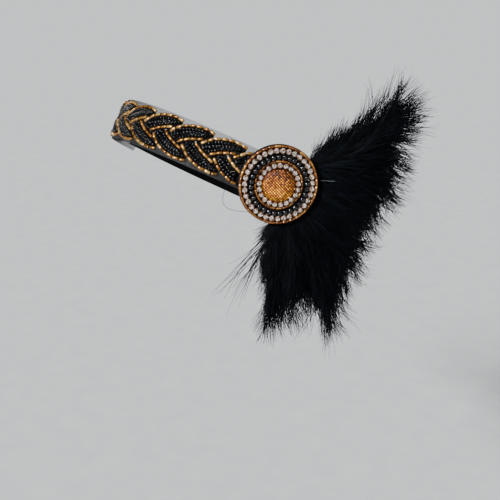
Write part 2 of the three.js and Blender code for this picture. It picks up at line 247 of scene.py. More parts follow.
loop_turns = np.linspace(-math.pi, math.pi, LOOP_STEPS)
loop_steps = np.hypot(
    np.diff(LOOP_HALF_WIDTH * np.sin(loop_turns)),
    np.diff(LOOP_HALF_DEPTH * np.cos(loop_turns)),
)
LOOP_LENGTH = float(loop_steps.sum())
loop_reach = np.concatenate([[0], np.cumsum(loop_steps)]) - LOOP_LENGTH / 2


def on_band(along, across, lift):
    """Points in metres at places on the loop."""
    along, across, lift = np.broadcast_arrays(*(np.asarray(v, float) for v in (along, across, lift)))
    wrapped = (along + LOOP_LENGTH / 2) % LOOP_LENGTH - LOOP_LENGTH / 2
    turn = np.interp(wrapped, loop_reach, loop_turns)
    out_x = np.sin(turn) / LOOP_HALF_WIDTH
    out_y = -np.cos(turn) / LOOP_HALF_DEPTH
    size = np.hypot(out_x, out_y)
    x = LOOP_HALF_WIDTH * np.sin(turn) + lift * out_x / size
    y = -LOOP_HALF_DEPTH * np.cos(turn) + lift * out_y / size
    level = math.cos(LOOP_TILT) * y + math.sin(LOOP_TILT) * across
    height = -math.sin(LOOP_TILT) * y + math.cos(LOOP_TILT) * across
    return MM * np.stack([x, level, height], -1)


print("loop length in mm:", round(LOOP_LENGTH, 1))

# %% Places on the medallion
MEDALLION_ALONG = 94.8
MEDALLION_ACROSS = -0.8
MEDALLION_LIFT = 4.0
MEDALLION_TURN = math.radians(60)
MEDALLION_RISE = math.radians(6)

medallion_middle = on_band(MEDALLION_ALONG, MEDALLION_ACROSS, MEDALLION_LIFT)
medallion_back = np.array([math.cos(MEDALLION_TURN), math.sin(MEDALLION_TURN), 0])
medallion_out = np.array([
    math.sin(MEDALLION_TURN) * math.cos(MEDALLION_RISE),
    -math.cos(MEDALLION_TURN) * math.cos(MEDALLION_RISE),
    math.sin(MEDALLION_RISE),
])
medallion_up = np.cross(medallion_out, medallion_back)


def on_medallion(back, up, out):
    """Points in metres at places on the medallion."""
    back, up, out = np.broadcast_arrays(*(np.asarray(v, float) for v in (back, up, out)))
    aside = back[..., None] * medallion_back + up[..., None] * medallion_up
    return medallion_middle + MM * (aside + out[..., None] * medallion_out)


felt_low, felt_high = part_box("medallion_felt")
print("middle of the felt in the frame:", (felt_low + felt_high) / 2)
print("middle of its back face here:", medallion_middle)

# %% [markdown]
# ## Geometry Nodes that sew and spin
# Hundreds of beads repeat one shape, and thousands of barbs repeat another. One tree makes a
# drilled bead from its sizes and sews it at every point of a plain cloud of points. A second tree
# sets a ready-made stone or cup at every point. A third turns thin lines into round strands. Each
# result is read back as a plain mesh, so that nothing is left to be worked out later.


# %% Tree helpers
def new_tree(name, inputs):
    """An empty Geometry Nodes tree with named inputs, and its input node's sockets."""
    tree = bpy.data.node_groups.new(name, "GeometryNodeTree")
    tree.interface.new_socket("Geometry", in_out="OUTPUT", socket_type="NodeSocketGeometry")
    tree.interface.new_socket("Geometry", in_out="INPUT", socket_type="NodeSocketGeometry")
    for label, kind in inputs.items():
        tree.interface.new_socket(label, in_out="INPUT", socket_type="NodeSocket" + kind)
    return tree, add(tree, "NodeGroupInput").outputs


def kept_turn(tree):
    """The turn that each point of a cloud keeps."""
    facing = add(tree, "GeometryNodeInputNamedAttribute", {"Name": "turn"}, data_type="FLOAT_VECTOR")
    turn = add(tree, "FunctionNodeEulerToRotation", {"Euler": facing.outputs["Attribute"]})
    return turn.outputs[0]


def set_copies(tree, inlet, shape, turn, size=(1, 1, 1)):
    """Sets a copy of a shape at every point, each with a chance shade from 0 to 1."""
    placed = add(tree, "GeometryNodeInstanceOnPoints", {
        "Points": inlet["Geometry"], "Instance": shape, "Rotation": turn, "Scale": size})
    chance = add(tree, "FunctionNodeRandomValue",
                 {2: 0.0, 3: 1.0, "Seed": inlet["Seed"]}, data_type="FLOAT")
    shaded = add(tree, "GeometryNodeStoreNamedAttribute",
                 {"Geometry": placed.outputs[0], "Name": "shade", "Value": chance.outputs[1]},
                 data_type="FLOAT", domain="INSTANCE")
    return shaded.outputs[0]


def end_tree(tree, inlet, geometry):
    """Ends a tree: the copies become real and take the finish."""
    real = add(tree, "GeometryNodeRealizeInstances", {"Geometry": geometry})
    coloured = add(tree, "GeometryNodeSetMaterial",
                   {"Geometry": real.outputs[0], "Material": inlet["Finish"]})
    add(tree, "NodeGroupOutput", {"Geometry": coloured.outputs[0]})
    print("nodes in", tree.name + ":", len(tree.nodes))


# %% Pieces from trees
def grow(name, mesh, tree, values):
    """Runs a tree on a mesh and gives the result back as a plain mesh piece."""
    start = new_piece(name + "_start", mesh)
    modifier = start.modifiers.new("nodes", "NODES")
    modifier.node_group = tree
    for item in tree.interface.items_tree:
        if item.in_out == "INPUT" and item.name in values:
            modifier[item.identifier] = values[item.name]
    graph = bpy.context.evaluated_depsgraph_get()
    made = bpy.data.meshes.new_from_object(
        start.evaluated_get(graph), preserve_all_data_layers=True, depsgraph=graph)
    bpy.data.objects.remove(start)
    made.name = name
    return new_piece(name, made)


def settle(piece, slot, *nodes):
    """A finished piece rides on the one body, and stands for its solids."""
    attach(piece, "root")
    if nodes:
        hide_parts(*nodes)
    piece.data.calc_loop_triangles()
    print(piece.name, "triangles:", len(piece.data.loop_triangles))


# %% Tree that sews beads: the drilled bead
# A hoop carries the section of the bead's wall. A bugle's section is a bevelled square, and a round
# bead's is half an oval whose flat side lines the hole.
sewn_beads, inlet = new_tree("sewn_beads", {
    "Diameter": "Float", "Hole": "Float", "Length": "Float", "Round": "Bool", "Bevel": "Float",
    "Arch": "Int", "Sides": "Int", "Slack": "Float", "Seed": "Int", "Finish": "Material",
})
tree = sewn_beads
girth = add(tree, "ShaderNodeMath", {0: inlet["Diameter"], 1: inlet["Hole"]}, operation="ADD")
middle = add(tree, "ShaderNodeMath", {0: girth.outputs[0], 1: 0.25}, operation="MULTIPLY")
bore = add(tree, "ShaderNodeMath", {0: inlet["Diameter"], 1: inlet["Hole"]}, operation="SUBTRACT")
wall = add(tree, "ShaderNodeMath", {0: bore.outputs[0], 1: 0.5}, operation="MULTIPLY")
hoop = add(tree, "GeometryNodeCurvePrimitiveCircle",
           {"Resolution": inlet["Sides"], "Radius": middle.outputs[0]})
square = add(tree, "GeometryNodeCurvePrimitiveQuadrilateral",
             {"Width": wall.outputs[0], "Height": inlet["Length"]})
bevelled = add(tree, "GeometryNodeFilletCurve", {
    "Curve": square.outputs[0], "Radius": inlet["Bevel"], "Count": 1, "Limit Radius": True},
    mode="POLY")
arch = add(tree, "GeometryNodeCurveArc", {
    "Resolution": inlet["Arch"], "Radius": 1.0, "Start Angle": -math.pi / 2, "Sweep Angle": math.pi},
    mode="RADIUS")
bow = add(tree, "GeometryNodeSetSplineCyclic", {"Geometry": arch.outputs["Curve"], "Cyclic": True})
half_long = add(tree, "ShaderNodeMath", {0: inlet["Length"], 1: 0.5}, operation="MULTIPLY")
size = add(tree, "ShaderNodeCombineXYZ", {"X": wall.outputs[0], "Y": half_long.outputs[0], "Z": 1.0})
inward = add(tree, "ShaderNodeMath", {0: wall.outputs[0], 1: -0.5}, operation="MULTIPLY")
shift = add(tree, "ShaderNodeCombineXYZ", {"X": inward.outputs[0]})
rounded = add(tree, "GeometryNodeTransform", {
    "Geometry": bow.outputs[0], "Scale": size.outputs[0], "Translation": shift.outputs[0]})
section = add(tree, "GeometryNodeSwitch", {
    "Switch": inlet["Round"], "False": bevelled.outputs[0], "True": rounded.outputs[0]},
    input_type="GEOMETRY")
bead = add(tree, "GeometryNodeCurveToMesh",
           {"Curve": hoop.outputs["Curve"], "Profile Curve": section.outputs[0]})
smooth_bead = add(tree, "GeometryNodeSetShadeSmooth", {"Geometry": bead.outputs["Mesh"]})
print("nodes that shape a bead:", len(tree.nodes))

# %% Tree that sews beads: one at every point
# Thread is never quite tight and beads are never quite alike, so each leans and is sized by chance.
BEAD_GRADES = (0.95, 1.04)

other_way = add(tree, "ShaderNodeMath", {0: inlet["Slack"], 1: -1.0}, operation="MULTIPLY")
wobble = add(tree, "FunctionNodeRandomValue",
             {0: other_way.outputs[0], 1: inlet["Slack"], "Seed": inlet["Seed"]},
             data_type="FLOAT_VECTOR")
tilt = add(tree, "FunctionNodeEulerToRotation", {"Euler": wobble.outputs[0]})
leaning = add(tree, "FunctionNodeRotateRotation",
              {"Rotation": kept_turn(tree), "Rotate By": tilt.outputs[0]}, rotation_space="LOCAL")
graded = add(tree, "FunctionNodeRandomValue",
             {2: BEAD_GRADES[0], 3: BEAD_GRADES[1], "Seed": inlet["Seed"]}, data_type="FLOAT")
sewn = set_copies(tree, inlet, smooth_bead.outputs[0], leaning.outputs[0], graded.outputs[1])
end_tree(tree, inlet, sewn)

# %% Trees that set stones and spin strands
set_stones, inlet = new_tree("set_stones", {"Stone": "Object", "Seed": "Int", "Finish": "Material"})
stone = add(set_stones, "GeometryNodeObjectInfo", {"Object": inlet["Stone"]})
end_tree(set_stones, inlet,
         set_copies(set_stones, inlet, stone.outputs["Geometry"], kept_turn(set_stones)))

spun_strands, inlet = new_tree("spun_strands", {"Sides": "Int", "Finish": "Material"})
tree = spun_strands
lines = add(tree, "GeometryNodeMeshToCurve", {"Mesh": inlet["Geometry"]})
ring = add(tree, "GeometryNodeCurvePrimitiveCircle", {"Resolution": inlet["Sides"], "Radius": 1.0})
thick = add(tree, "GeometryNodeInputNamedAttribute", {"Name": "thick"}, data_type="FLOAT")
tube = add(tree, "GeometryNodeCurveToMesh", {
    "Curve": lines.outputs[0], "Profile Curve": ring.outputs["Curve"],
    "Scale": thick.outputs["Attribute"], "Fill Caps": True})
smooth_tube = add(tree, "GeometryNodeSetShadeSmooth", {"Geometry": tube.outputs[0]})
end_tree(tree, inlet, smooth_tube.outputs[0])


# %% Clouds of points and bundles of lines
def unit(vectors):
    """The same directions, one long."""
    return vectors / np.linalg.norm(vectors, axis=-1, keepdims=True)


def turns_of(outward, forward):
    """Euler turns that carry a bead's X outward and its bored Z along the thread."""
    z = unit(forward)
    x = unit(outward - (outward * z).sum(-1, keepdims=True) * z)
    y = np.cross(z, x)
    return np.stack([
        np.arctan2(y[:, 2], z[:, 2]), np.arcsin(-x[:, 2]), np.arctan2(x[:, 1], x[:, 0])], -1)


def store(mesh, name, kind, key, values, domain="POINT"):
    """Keeps one value for each point, or for each face, on the mesh."""
    layer = mesh.attributes.new(name, kind, domain)
    layer.data.foreach_set(key, np.asarray(values, np.float32).ravel())


def point_cloud(name, points, turns):
    """Loose points that remember which way a bead faces."""
    mesh = new_mesh(name, points)
    store(mesh, "turn", "FLOAT_VECTOR", "vector", turns)
    return mesh


def line_bundle(name, lines, thick, shade):
    """Open lines, one row of points each, with a radius at each point and a shade for each line."""
    count, steps = lines.shape[:2]
    starts = np.arange(count * steps).reshape(count, steps)
    edges = np.stack([starts[:, :-1], starts[:, 1:]], -1).reshape(-1, 2)
    mesh = new_mesh(name, lines, edges=edges.tolist())
    store(mesh, "thick", "FLOAT", "value", np.broadcast_to(thick, (count, steps)))
    store(mesh, "shade", "FLOAT", "value", np.broadcast_to(np.reshape(shade, (-1, 1)), (count, steps)))
    return mesh


print("one unit long:", unit(np.array([3.0, 4.0])))

# %% [markdown]
# ## Tulle
# The strip is nylon tulle, round threads that leave open meshes between them. A picture of holes
# would look flat at the cut edge, so the threads are real. Two families of lines cross the strip on
# the slant and the third tree makes them round. Real tulle is finer than the picture can show, so
# both the mesh and the thread are drawn about twice as coarse.

# %% Nylon finish
# Nylon filament is drawn smooth, so the thread is dark with a soft shine. Its dye is uneven in
# patches, three to the centimetre.
DYE_PATCH = 10 / 3

nylon, tree = new_finish("nylon_tulle")
places = add(tree, "ShaderNodeTexCoord")
dye = add(tree, "ShaderNodeTexNoise",
          {"Vector": places.outputs["Object"], "Scale": 1 / (DYE_PATCH * MM)})
end_finish(tree, dye.outputs["Fac"], [(0.3, "#08080a"), (0.7, "#151518")],
           {"Roughness": 0.5, "IOR": 1.53})
print("finish:", nylon.name)

# %% Tulle strip
NET_WIDTH = 26.0
NET_LEFT_END = 112.0
NET_RIGHT_END = -97.0
NET_MESH = 0.75
NET_THREAD = 0.26
NET_LIFT = 0.25
CROSSING_LIFT = 0.05
THREAD_STEPS = 12
THREAD_SIDES = 4

net_pitch = NET_MESH * math.sqrt(2)
thread_lines = []
for slant in (1, -1):
    feet = np.arange(NET_RIGHT_END - NET_WIDTH, NET_LEFT_END + NET_WIDTH, net_pitch)
    for foot in feet:
        run = np.sort(np.array([NET_RIGHT_END - foot, NET_LEFT_END - foot]) * slant)
        low = max(0.0, run[0])
        high = min(NET_WIDTH, run[1])
        if high - low < NET_MESH:
            continue
        rise = np.linspace(low, high, THREAD_STEPS)
        lift = NET_LIFT + CROSSING_LIFT * slant
        thread_lines.append(on_band(foot + slant * rise, rise - NET_WIDTH / 2, lift))
thread_lines = np.array(thread_lines)
net_lines = line_bundle("net_lines", thread_lines, NET_THREAD / 2 * MM, np.zeros(len(thread_lines)))
net = grow("tulle_strip", net_lines, spun_strands, {"Sides": THREAD_SIDES, "Finish": nylon})
settle(net, "black_net", "net_band")
print("tulle threads:", len(thread_lines))

# %% [markdown]
# ## Elastic
# Braided elastic shows lengthwise ribs, one over each rubber thread. It lies inside the ends of the
# tulle and goes round the nape. Bump alone would leave its edge straight, so the ribs are in the
# section itself, which is swept along the loop. The fine braid over them is bump that follows the
# strip.

# %% Braided elastic finish
# Polyester yarn braided over rubber is matt, with a weft every 0.8 mm across the ribs. A wave
# texture of scale 1 repeats every 0.314 units, and here a unit is a millimetre of the strip.
BRAID_PITCH = 0.8
WAVE_REPEAT = 0.314

elastic_finish, tree = new_finish("braided_elastic")
strip_place = add(tree, "ShaderNodeAttribute", attribute_name="strip_place")
weft = add(tree, "ShaderNodeTexWave", {
    "Vector": strip_place.outputs["Vector"], "Scale": 1 / BRAID_PITCH * WAVE_REPEAT,
    "Distortion": 0.6}, wave_type="BANDS", bands_direction="X")
relief = add(tree, "ShaderNodeBump",
             {"Height": weft.outputs["Fac"], "Strength": 0.5, "Distance": 0.2 * MM})
end_finish(tree, weft.outputs["Fac"], [(0.2, "#040405"), (0.8, "#0d0d0f")],
           {"Roughness": 0.8, "Specular IOR Level": 0.12, "Normal": relief.outputs["Normal"]})
print("finish:", elastic_finish.name)


# %% Skin over rows of points
def skin(rows, sides):
    """Faces over rows of points that close on themselves, with a cap at both ends."""
    faces = []
    for r in range(rows - 1):
        for s in range(sides):
            t = (s + 1) % sides
            faces.append((r * sides + s, r * sides + t, (r + 1) * sides + t, (r + 1) * sides + s))
    faces.append(tuple(range(sides))[::-1])
    faces.append(tuple((rows - 1) * sides + s for s in range(sides)))
    return faces


print("faces on a closed box:", len(skin(2, 4)))

# %% Elastic strip
ELASTIC_WIDTH = 20.0
ELASTIC_WALL = 1.2
ELASTIC_LAP = 12.0
ELASTIC_LIFT = -1.4
ELASTIC_RIBS = 9
RIB_DEPTH = 0.16
SECTION_STEPS = 36
LENGTH_STEPS = 150

elastic_start = NET_LEFT_END - ELASTIC_LAP
elastic_end = LOOP_LENGTH + NET_RIGHT_END + ELASTIC_LAP
stations = np.linspace(elastic_start, elastic_end, LENGTH_STEPS)[:, None]
go = np.linspace(-1, 1, SECTION_STEPS)
half_wall = ELASTIC_WALL / 2 - RIB_DEPTH * (0.5 - 0.5 * np.cos(go * math.pi * ELASTIC_RIBS))
section_across = np.concatenate([go, go[::-1]]) * ELASTIC_WIDTH / 2
section_lift = ELASTIC_LIFT + np.concatenate([half_wall, -half_wall[::-1]])
elastic = smooth_piece("elastic_strip", on_band(stations, section_across, section_lift),
                       skin(LENGTH_STEPS, 2 * SECTION_STEPS), elastic_finish)
strip_places = np.stack(np.broadcast_arrays(stations, section_across, 0.0), -1)
store(elastic.data, "strip_place", "FLOAT_VECTOR", "vector", strip_places)
settle(elastic, "black_elastic", "back_elastic")
print("elastic length in mm:", round(elastic_end - elastic_start, 1))

# %% [markdown]
# ## Glass
# Black glass has no colour of its own to show, so its gloss does the work. The seed beads and the
# large beads are two finishes of one glass, and the bugles two lustres on another, so a loop makes
# each pair. Every bead reads the chance shade that the tree gave it, and no two are quite alike.

# %% Black glass finishes
# Jet glass is pressed and fire-polished: black through and glossy, so each bead shows one crisp dot.
# Soft dimples 2 mm across keep the dots from being all alike. The small beads are tumbled, and mirror
# less than the large ones.
DIMPLE = 2.0
JETS = {"tumbled_black_glass": 0.22, "polished_black_glass": 0.45}

jets = {}
for name, specular in JETS.items():
    jets[name], tree = new_finish(name)
    shade = add(tree, "ShaderNodeAttribute", attribute_name="shade")
    places = add(tree, "ShaderNodeTexCoord")
    dimples = add(tree, "ShaderNodeTexNoise",
                  {"Vector": places.outputs["Object"], "Scale": 1 / (DIMPLE * MM)})
    relief = add(tree, "ShaderNodeBump",
                 {"Height": dimples.outputs["Fac"], "Strength": 0.05, "Distance": 0.2 * MM})
    end_finish(tree, shade.outputs["Fac"], [(0.0, "#020203"), (1.0, "#060607")], {
        "Roughness": 0.04, "Specular IOR Level": specular, "Normal": relief.outputs["Normal"]})
print("finishes:", list(jets))

# %% Lustre finishes
# Bugles are drawn glass tube with a lustre fired on: a warm metal, darker where it wears thin, in
# patches seven to the centimetre.
WEAR_PATCH = 10 / 7
LUSTRES = {
    "gold_lustre_glass": [(0.15, "#4f3112"), (0.5, "#825a26"), (0.85, "#b8965a")],
    # Copper: the gold lustre made redder and darker, partly its own tone and partly painted shade.
    "copper_lustre_glass": [(0.15, "#40210f"), (0.5, "#764a23"), (0.85, "#b08246")],
}

lustres = {}
for name, stops in LUSTRES.items():
    lustres[name], tree = new_finish(name)
    shade = add(tree, "ShaderNodeAttribute", attribute_name="shade")
    places = add(tree, "ShaderNodeTexCoord")
    wear = add(tree, "ShaderNodeTexNoise",
               {"Vector": places.outputs["Object"], "Scale": 1 / (WEAR_PATCH * MM), "Detail": 3.0})
    uneven = add(tree, "ShaderNodeMath", {0: shade.outputs["Fac"], 1: wear.outputs["Fac"]},
                 operation="ADD")
    share = add(tree, "ShaderNodeMath", {0: uneven.outputs[0], 1: 0.5}, operation="MULTIPLY")
    gloss = add(tree, "ShaderNodeMapRange",
                {"Value": wear.outputs["Fac"], "To Min": 0.16, "To Max": 0.32})
    end_finish(tree, share.outputs[0], stops, {"Metallic": 0.65, "Roughness": gloss.outputs["Result"]})
print("finishes:", list(lustres))

# %% [markdown]
# ## Plait
# The plait is worked in leaves: fields of black seed beads in curved rows, each field outlined by
# gold bugles. Upper leaves and lower leaves overlap by half a step, which reads as three strands.
# Each bead could be placed by hand, but every leaf is alike. So the outline of one leaf is a short
# table, and the rows of beads are spread between its outer edge and its foot, where the next leaf
# begins. The beads are threaded, so each bead's hole lies along its row.

# %% Leaf outlines
# Places in a leaf are millimetres along the band from the leaf's start, and across from the band's
# middle. A lower leaf is an upper one turned over.
LEAF_COUNT = 8
LEAF_PITCH = 20.4
LEAF_HALVES = [("upper", 1, 72.5), ("lower", -1, 62.3)]
OUTER_EDGE = [
    (-7, 2.2), (-4.7, 4.5), (-1.2, 7.4), (3, 9.4), (8, 10.8), (13, 11.2), (16.5, 10.9), (19.2, 10.1),
]
INNER_EDGE = [(0.2, -1.5), (4, 1), (8, 2.9), (11, 4), (13.8, 5.2)]
LEAF_FOOT = [
    (-6, 0.9), (-4, -0.4), (-1.3, -1.3), (1, 0.6), (4, 2.6), (8, 4.4), (12, 6), (15, 7.3), (17.8, 8.5),
]


def eased(table, steps=16):
    """A smooth line through a short table of places."""
    knots = np.array(table, float)
    padded = np.vstack([2 * knots[0] - knots[1], knots, 2 * knots[-1] - knots[-2]])
    line = []
    for a, b, c, d in zip(padded, padded[1:], padded[2:], padded[3:]):
        for t in np.linspace(0, 1, steps, endpoint=False):
            line.append(0.5 * (2 * b + (c - a) * t + (2 * a - 5 * b + 4 * c - d) * t * t
                               + (3 * b - a - 3 * c + d) * t ** 3))
    return np.array(line + [knots[-1]])


leaves = [
    {"name": f"{half}_{n + 1:02d}", "side": side, "start": first - LEAF_PITCH * n}
    for half, side, first in LEAF_HALVES
    for n in range(LEAF_COUNT)
]
leaf_pads = ["leaf_" + leaf["name"] for leaf in leaves]
outer_line = eased(OUTER_EDGE)
inner_line = eased(INNER_EDGE)
leaf_foot = np.array(LEAF_FOOT)
print("leaves:", len(leaves))

# %% Thread beads along a line
THREAD_PEEK = 0.4
FELT_RADIUS = 23.8
FELT_CLEARANCE = 1.4
FELT_OVERLAP = 3.0


def reach_of(line):
    """The length along a line at each of its points."""
    return np.concatenate([[0], np.cumsum(np.linalg.norm(np.diff(line, axis=0), axis=1))])


def spots_on(line, where):
    """Places at these lengths along a line, one array for each column."""
    return [np.interp(where, reach_of(line), column) for column in line.T]


def sew(line, where, leaf, lift):
    """Middles, outward and forward directions of beads threaded along a leaf's line."""
    def place(ahead, lift):
        """Points in metres a little ahead of the beads."""
        along, across = spots_on(line, where + ahead)
        return on_band(leaf["start"] + along, leaf["side"] * across, lift)

    middles = place(0, lift)
    outward = place(0, lift + 1) - middles
    forward = place(THREAD_PEEK, lift) - place(-THREAD_PEEK, lift)
    return middles, outward, forward


def clear_of_felt(middles):
    """True for beads clear of the felt, or behind it and only a little way under its edge."""
    from_middle = (middles - medallion_middle) / MM
    reach = np.hypot(from_middle @ medallion_back, from_middle @ medallion_up)
    behind = from_middle @ medallion_out < -FELT_CLEARANCE
    return (reach > FELT_RADIUS + FELT_CLEARANCE) | (behind & (reach > FELT_RADIUS - FELT_OVERLAP))


def sewn_cloud(name, groups):
    """One cloud of points from many threaded lines, without those under the felt."""
    middles, outward, forward = (np.concatenate([g[i] for g in groups]) for i in range(3))
    keep = clear_of_felt(middles)
    return point_cloud(name, middles[keep], turns_of(outward[keep], forward[keep]))


print("outer edge of a leaf in mm:", round(reach_of(outer_line)[-1], 1))

# %% Rows of a leaf
# A row lies at a share of the leaf's width, where that width is between the least and the most, and
# a raised row lies on its neighbours.
BUGLE = {
    "Diameter": 1.8 * MM, "Hole": 0.7 * MM, "Length": 3.5 * MM, "Round": False, "Bevel": 0.15 * MM,
    "Arch": 6, "Sides": 9,
}
SEED_BEAD = {
    "Diameter": 2.15 * MM, "Hole": 0.5 * MM, "Length": 1.75 * MM, "Round": True, "Bevel": 0.0,
    "Arch": 6, "Sides": 9,
}
ANY_WIDTH = 99
LEAF_ROWS = [
    (1.0, 3.5, ANY_WIDTH, 0.0),
    (0.5, 4.7, ANY_WIDTH, 0.35),
    (0.0, 3.5, ANY_WIDTH, 0.0),
    (0.5, 1.5, 3.5, 0.2),
]
LEAF_STEPS = 120
FOOT_SLACK = 0.35
FOOT_OVERRUN = 0.8

bead_half = 0.5 * SEED_BEAD["Diameter"] / MM
bugle_half = 0.5 * BUGLE["Diameter"] / MM
leaf_along = np.linspace(leaf_foot[0, 0], leaf_foot[-1, 0] + FOOT_OVERRUN, LEAF_STEPS)
leaf_top = np.interp(leaf_along, outer_line[:, 0], outer_line[:, 1])
leaf_bottom = np.interp(leaf_along, leaf_foot[:, 0], leaf_foot[:, 1]) - FOOT_SLACK
width = leaf_top - bugle_half * np.hypot(1, np.gradient(leaf_top, leaf_along)) - leaf_bottom
rows = []
for share, least, most, raised in LEAF_ROWS:
    level = leaf_bottom + bead_half + share * (width - 2 * bead_half)
    held = (width > least) & (width < most)
    rows.append((np.stack([leaf_along[held], level[held]], -1), raised))
print("rows of seed beads in a leaf:", len(rows))

# %% Seed beads
SEED_PITCH = 1.9
SEWN_LIFT = 0.4

seeds = []
for leaf in leaves:
    for row_line, raised in rows:
        length = reach_of(row_line)[-1]
        count = int(length // SEED_PITCH)
        where = (np.arange(count + 1) - count / 2) * SEED_PITCH + length / 2
        seeds.append(sew(row_line, where, leaf, SEWN_LIFT + bead_half + raised))
seed_beads = grow("seed_beads", sewn_cloud("seed_points", seeds), sewn_beads,
                  {**SEED_BEAD, "Slack": 0.14, "Seed": 3, "Finish": jets["tumbled_black_glass"]})
settle(seed_beads, "black_glass_beads", *leaf_pads)

# %% [markdown]
# ## Satin stitches
# Between round beads the open net would show as pale gaps. So each leaf is filled with satin stitch
# under its beads: black thread laid side by side from its foot to its outer edge. One dark sheet
# would look painted along its edge, so the stitches are real strands, spun by the third tree.

# %% Satin stitches under the beads
# Polyester thread is spun from short fibre and matt, so it takes no light from the beads. The first
# stitches lie a little before the leaf, and each runs over its outer edge and under its foot.
STITCH_PITCH = 0.3
STITCH_RADIUS = 0.2
STITCH_LIFT = 0.5
STITCH_POINTS = 3
STITCH_WANDER = 0.2
STITCH_LEAD = 3.6
STITCH_OVER = 0.2
STITCH_UNDER = [(4, 0.9), (12, 3.0)]
STITCH_SEED = 23

thread, tree = new_finish("polyester_thread")
shade = add(tree, "ShaderNodeAttribute", attribute_name="shade")
end_finish(tree, shade.outputs["Fac"], [(0.0, "#030304"), (1.0, "#0a0a0c")],
           {"Roughness": 0.8, "Specular IOR Level": 0.03})

dice = np.random.default_rng(STITCH_SEED)
stitch_along = np.arange(leaf_along[0] - STITCH_LEAD, leaf_along[-1], STITCH_PITCH)
stitch_top = np.interp(stitch_along, leaf_along, leaf_top) + STITCH_OVER
stitch_foot = np.interp(stitch_along, leaf_along, leaf_bottom)
stitch_foot = stitch_foot - np.interp(stitch_along, *zip(*STITCH_UNDER))
shares = np.linspace(0, 1, STITCH_POINTS)
across = stitch_foot[:, None] + (stitch_top - stitch_foot)[:, None] * shares
stitch_lines = []
for leaf in leaves:
    wandered = across + dice.uniform(-STITCH_WANDER, STITCH_WANDER, across.shape)
    stitch_lines.append(
        on_band(leaf["start"] + stitch_along[:, None], leaf["side"] * wandered, STITCH_LIFT))
stitch_lines = np.concatenate(stitch_lines)
stitch_lines = stitch_lines[clear_of_felt(stitch_lines[:, STITCH_POINTS // 2])]
stitch_shades = dice.uniform(0, 1, len(stitch_lines))
stitch_bundle = line_bundle("stitch_lines", stitch_lines, STITCH_RADIUS * MM, stitch_shades)
stitches = grow("satin_stitches", stitch_bundle, spun_strands,
                {"Sides": THREAD_SIDES, "Finish": thread})
settle(stitches, None, *leaf_pads)

# %% [markdown]
# ## Bugle outlines
# A row of gold bugles outlines each leaf, seven along its outer edge and four along its inner one.
# One bent tube would be less work, but glass tube is cut straight, and the small angles from bead to
# bead are what the eye reads. So each bugle is a bead of its own, sewn by the first tree.

# %% Bugles round the leaves
# The first upper leaf has no inner edge, because the felt would cover it.
OUTER_BUGLES = 7
INNER_BUGLES = 4
COVERED_LEAF = "upper_01"


def even_spots(line, count):
    """Lengths along a line at the middles of equal parts."""
    return (np.arange(count) + 0.5) / count * reach_of(line)[-1]


bugles = []
bugle_edges = ["outer_edge_" + leaf["name"] for leaf in leaves]
for leaf in leaves:
    lift = SEWN_LIFT + bugle_half
    bugles.append(sew(outer_line, even_spots(outer_line, OUTER_BUGLES), leaf, lift))
    if leaf["name"] != COVERED_LEAF:
        bugles.append(sew(inner_line, even_spots(inner_line, INNER_BUGLES), leaf, lift))
        bugle_edges.append("inner_edge_" + leaf["name"])
plait_bugles = grow("plait_bugles", sewn_cloud("bugle_points", bugles), sewn_beads,
                    {**BUGLE, "Slack": 0.13, "Seed": 5, "Finish": lustres["gold_lustre_glass"]})
settle(plait_bugles, "gold_bugles", *bugle_edges)

# %% [markdown]
# ## Medallion
# A disc of black felt carries five rings and a cabochon: gold bugles at the rim, clear stones in a
# cup chain, large black beads, thin gold bugles, and a second cup chain round the cabochon. The
# felt swells a little in the middle and its cut edge wanders, so it is a mesh of rings rather than
# a plain cylinder. A ring of beads is a circle of points, so the same tree sews it.

# %% Felt finish
# Wool felt is pressed fibre: very matt, with a short nap. The nap is drawn as tufts 0.6 mm across,
# coarser than the fibre, so that it shows.
NAP_TUFT = 0.625

felt_finish, tree = new_finish("wool_felt")
places = add(tree, "ShaderNodeTexCoord")
nap = add(tree, "ShaderNodeTexNoise",
          {"Vector": places.outputs["Object"], "Scale": 1 / (NAP_TUFT * MM), "Detail": 4.0})
relief = add(tree, "ShaderNodeBump",
             {"Height": nap.outputs["Fac"], "Strength": 0.7, "Distance": 0.3 * MM})
end_finish(tree, nap.outputs["Fac"], [(0.3, "#050506"), (0.75, "#151416")],
           {"Roughness": 0.95, "Specular IOR Level": 0.1, "Normal": relief.outputs["Normal"]})
print("finish:", felt_finish.name)

# %% Felt disc
FELT_WALL = 1.8
FELT_DOME = 1.2
FELT_SIDES = 120
FELT_FRONT_RINGS = 14
FELT_BACK_RINGS = 4
FELT_HUB = 0.02
FELT_SHOULDER = 0.985
FELT_ROUNDING = 0.5
EDGE_WANDER = 0.12
WANDER_SMOOTHING = 5
WANDER_FADE = 6
FELT_SEED = 11


def felt_face(radius):
    """The height of the felt's front over its back."""
    return FELT_WALL + FELT_DOME * (1 - (radius / FELT_RADIUS) ** 2)


dice = np.random.default_rng(FELT_SEED)
around = np.linspace(0, 2 * math.pi, FELT_SIDES, endpoint=False)
chances = dice.normal(0, 1, FELT_SIDES + WANDER_SMOOTHING - 1)
wander = EDGE_WANDER * np.convolve(chances, np.ones(WANDER_SMOOTHING) / WANDER_SMOOTHING, "valid")
front_shares = np.linspace(FELT_HUB, FELT_SHOULDER, FELT_FRONT_RINGS)
front = [(share, felt_face(share * FELT_RADIUS)) for share in front_shares]
rim = [(1.0, FELT_WALL - FELT_ROUNDING), (1.0, FELT_ROUNDING)]
behind = [(share, 0.0) for share in np.linspace(FELT_SHOULDER, FELT_HUB, FELT_BACK_RINGS)]
felt_rings = np.array(front + rim + behind)
radii = felt_rings[:, :1] * FELT_RADIUS + wander * felt_rings[:, :1] ** WANDER_FADE
felt_points = on_medallion(radii * np.cos(around), radii * np.sin(around), felt_rings[:, 1:])
felt_faces = [face[::-1] for face in skin(len(felt_rings), FELT_SIDES)]
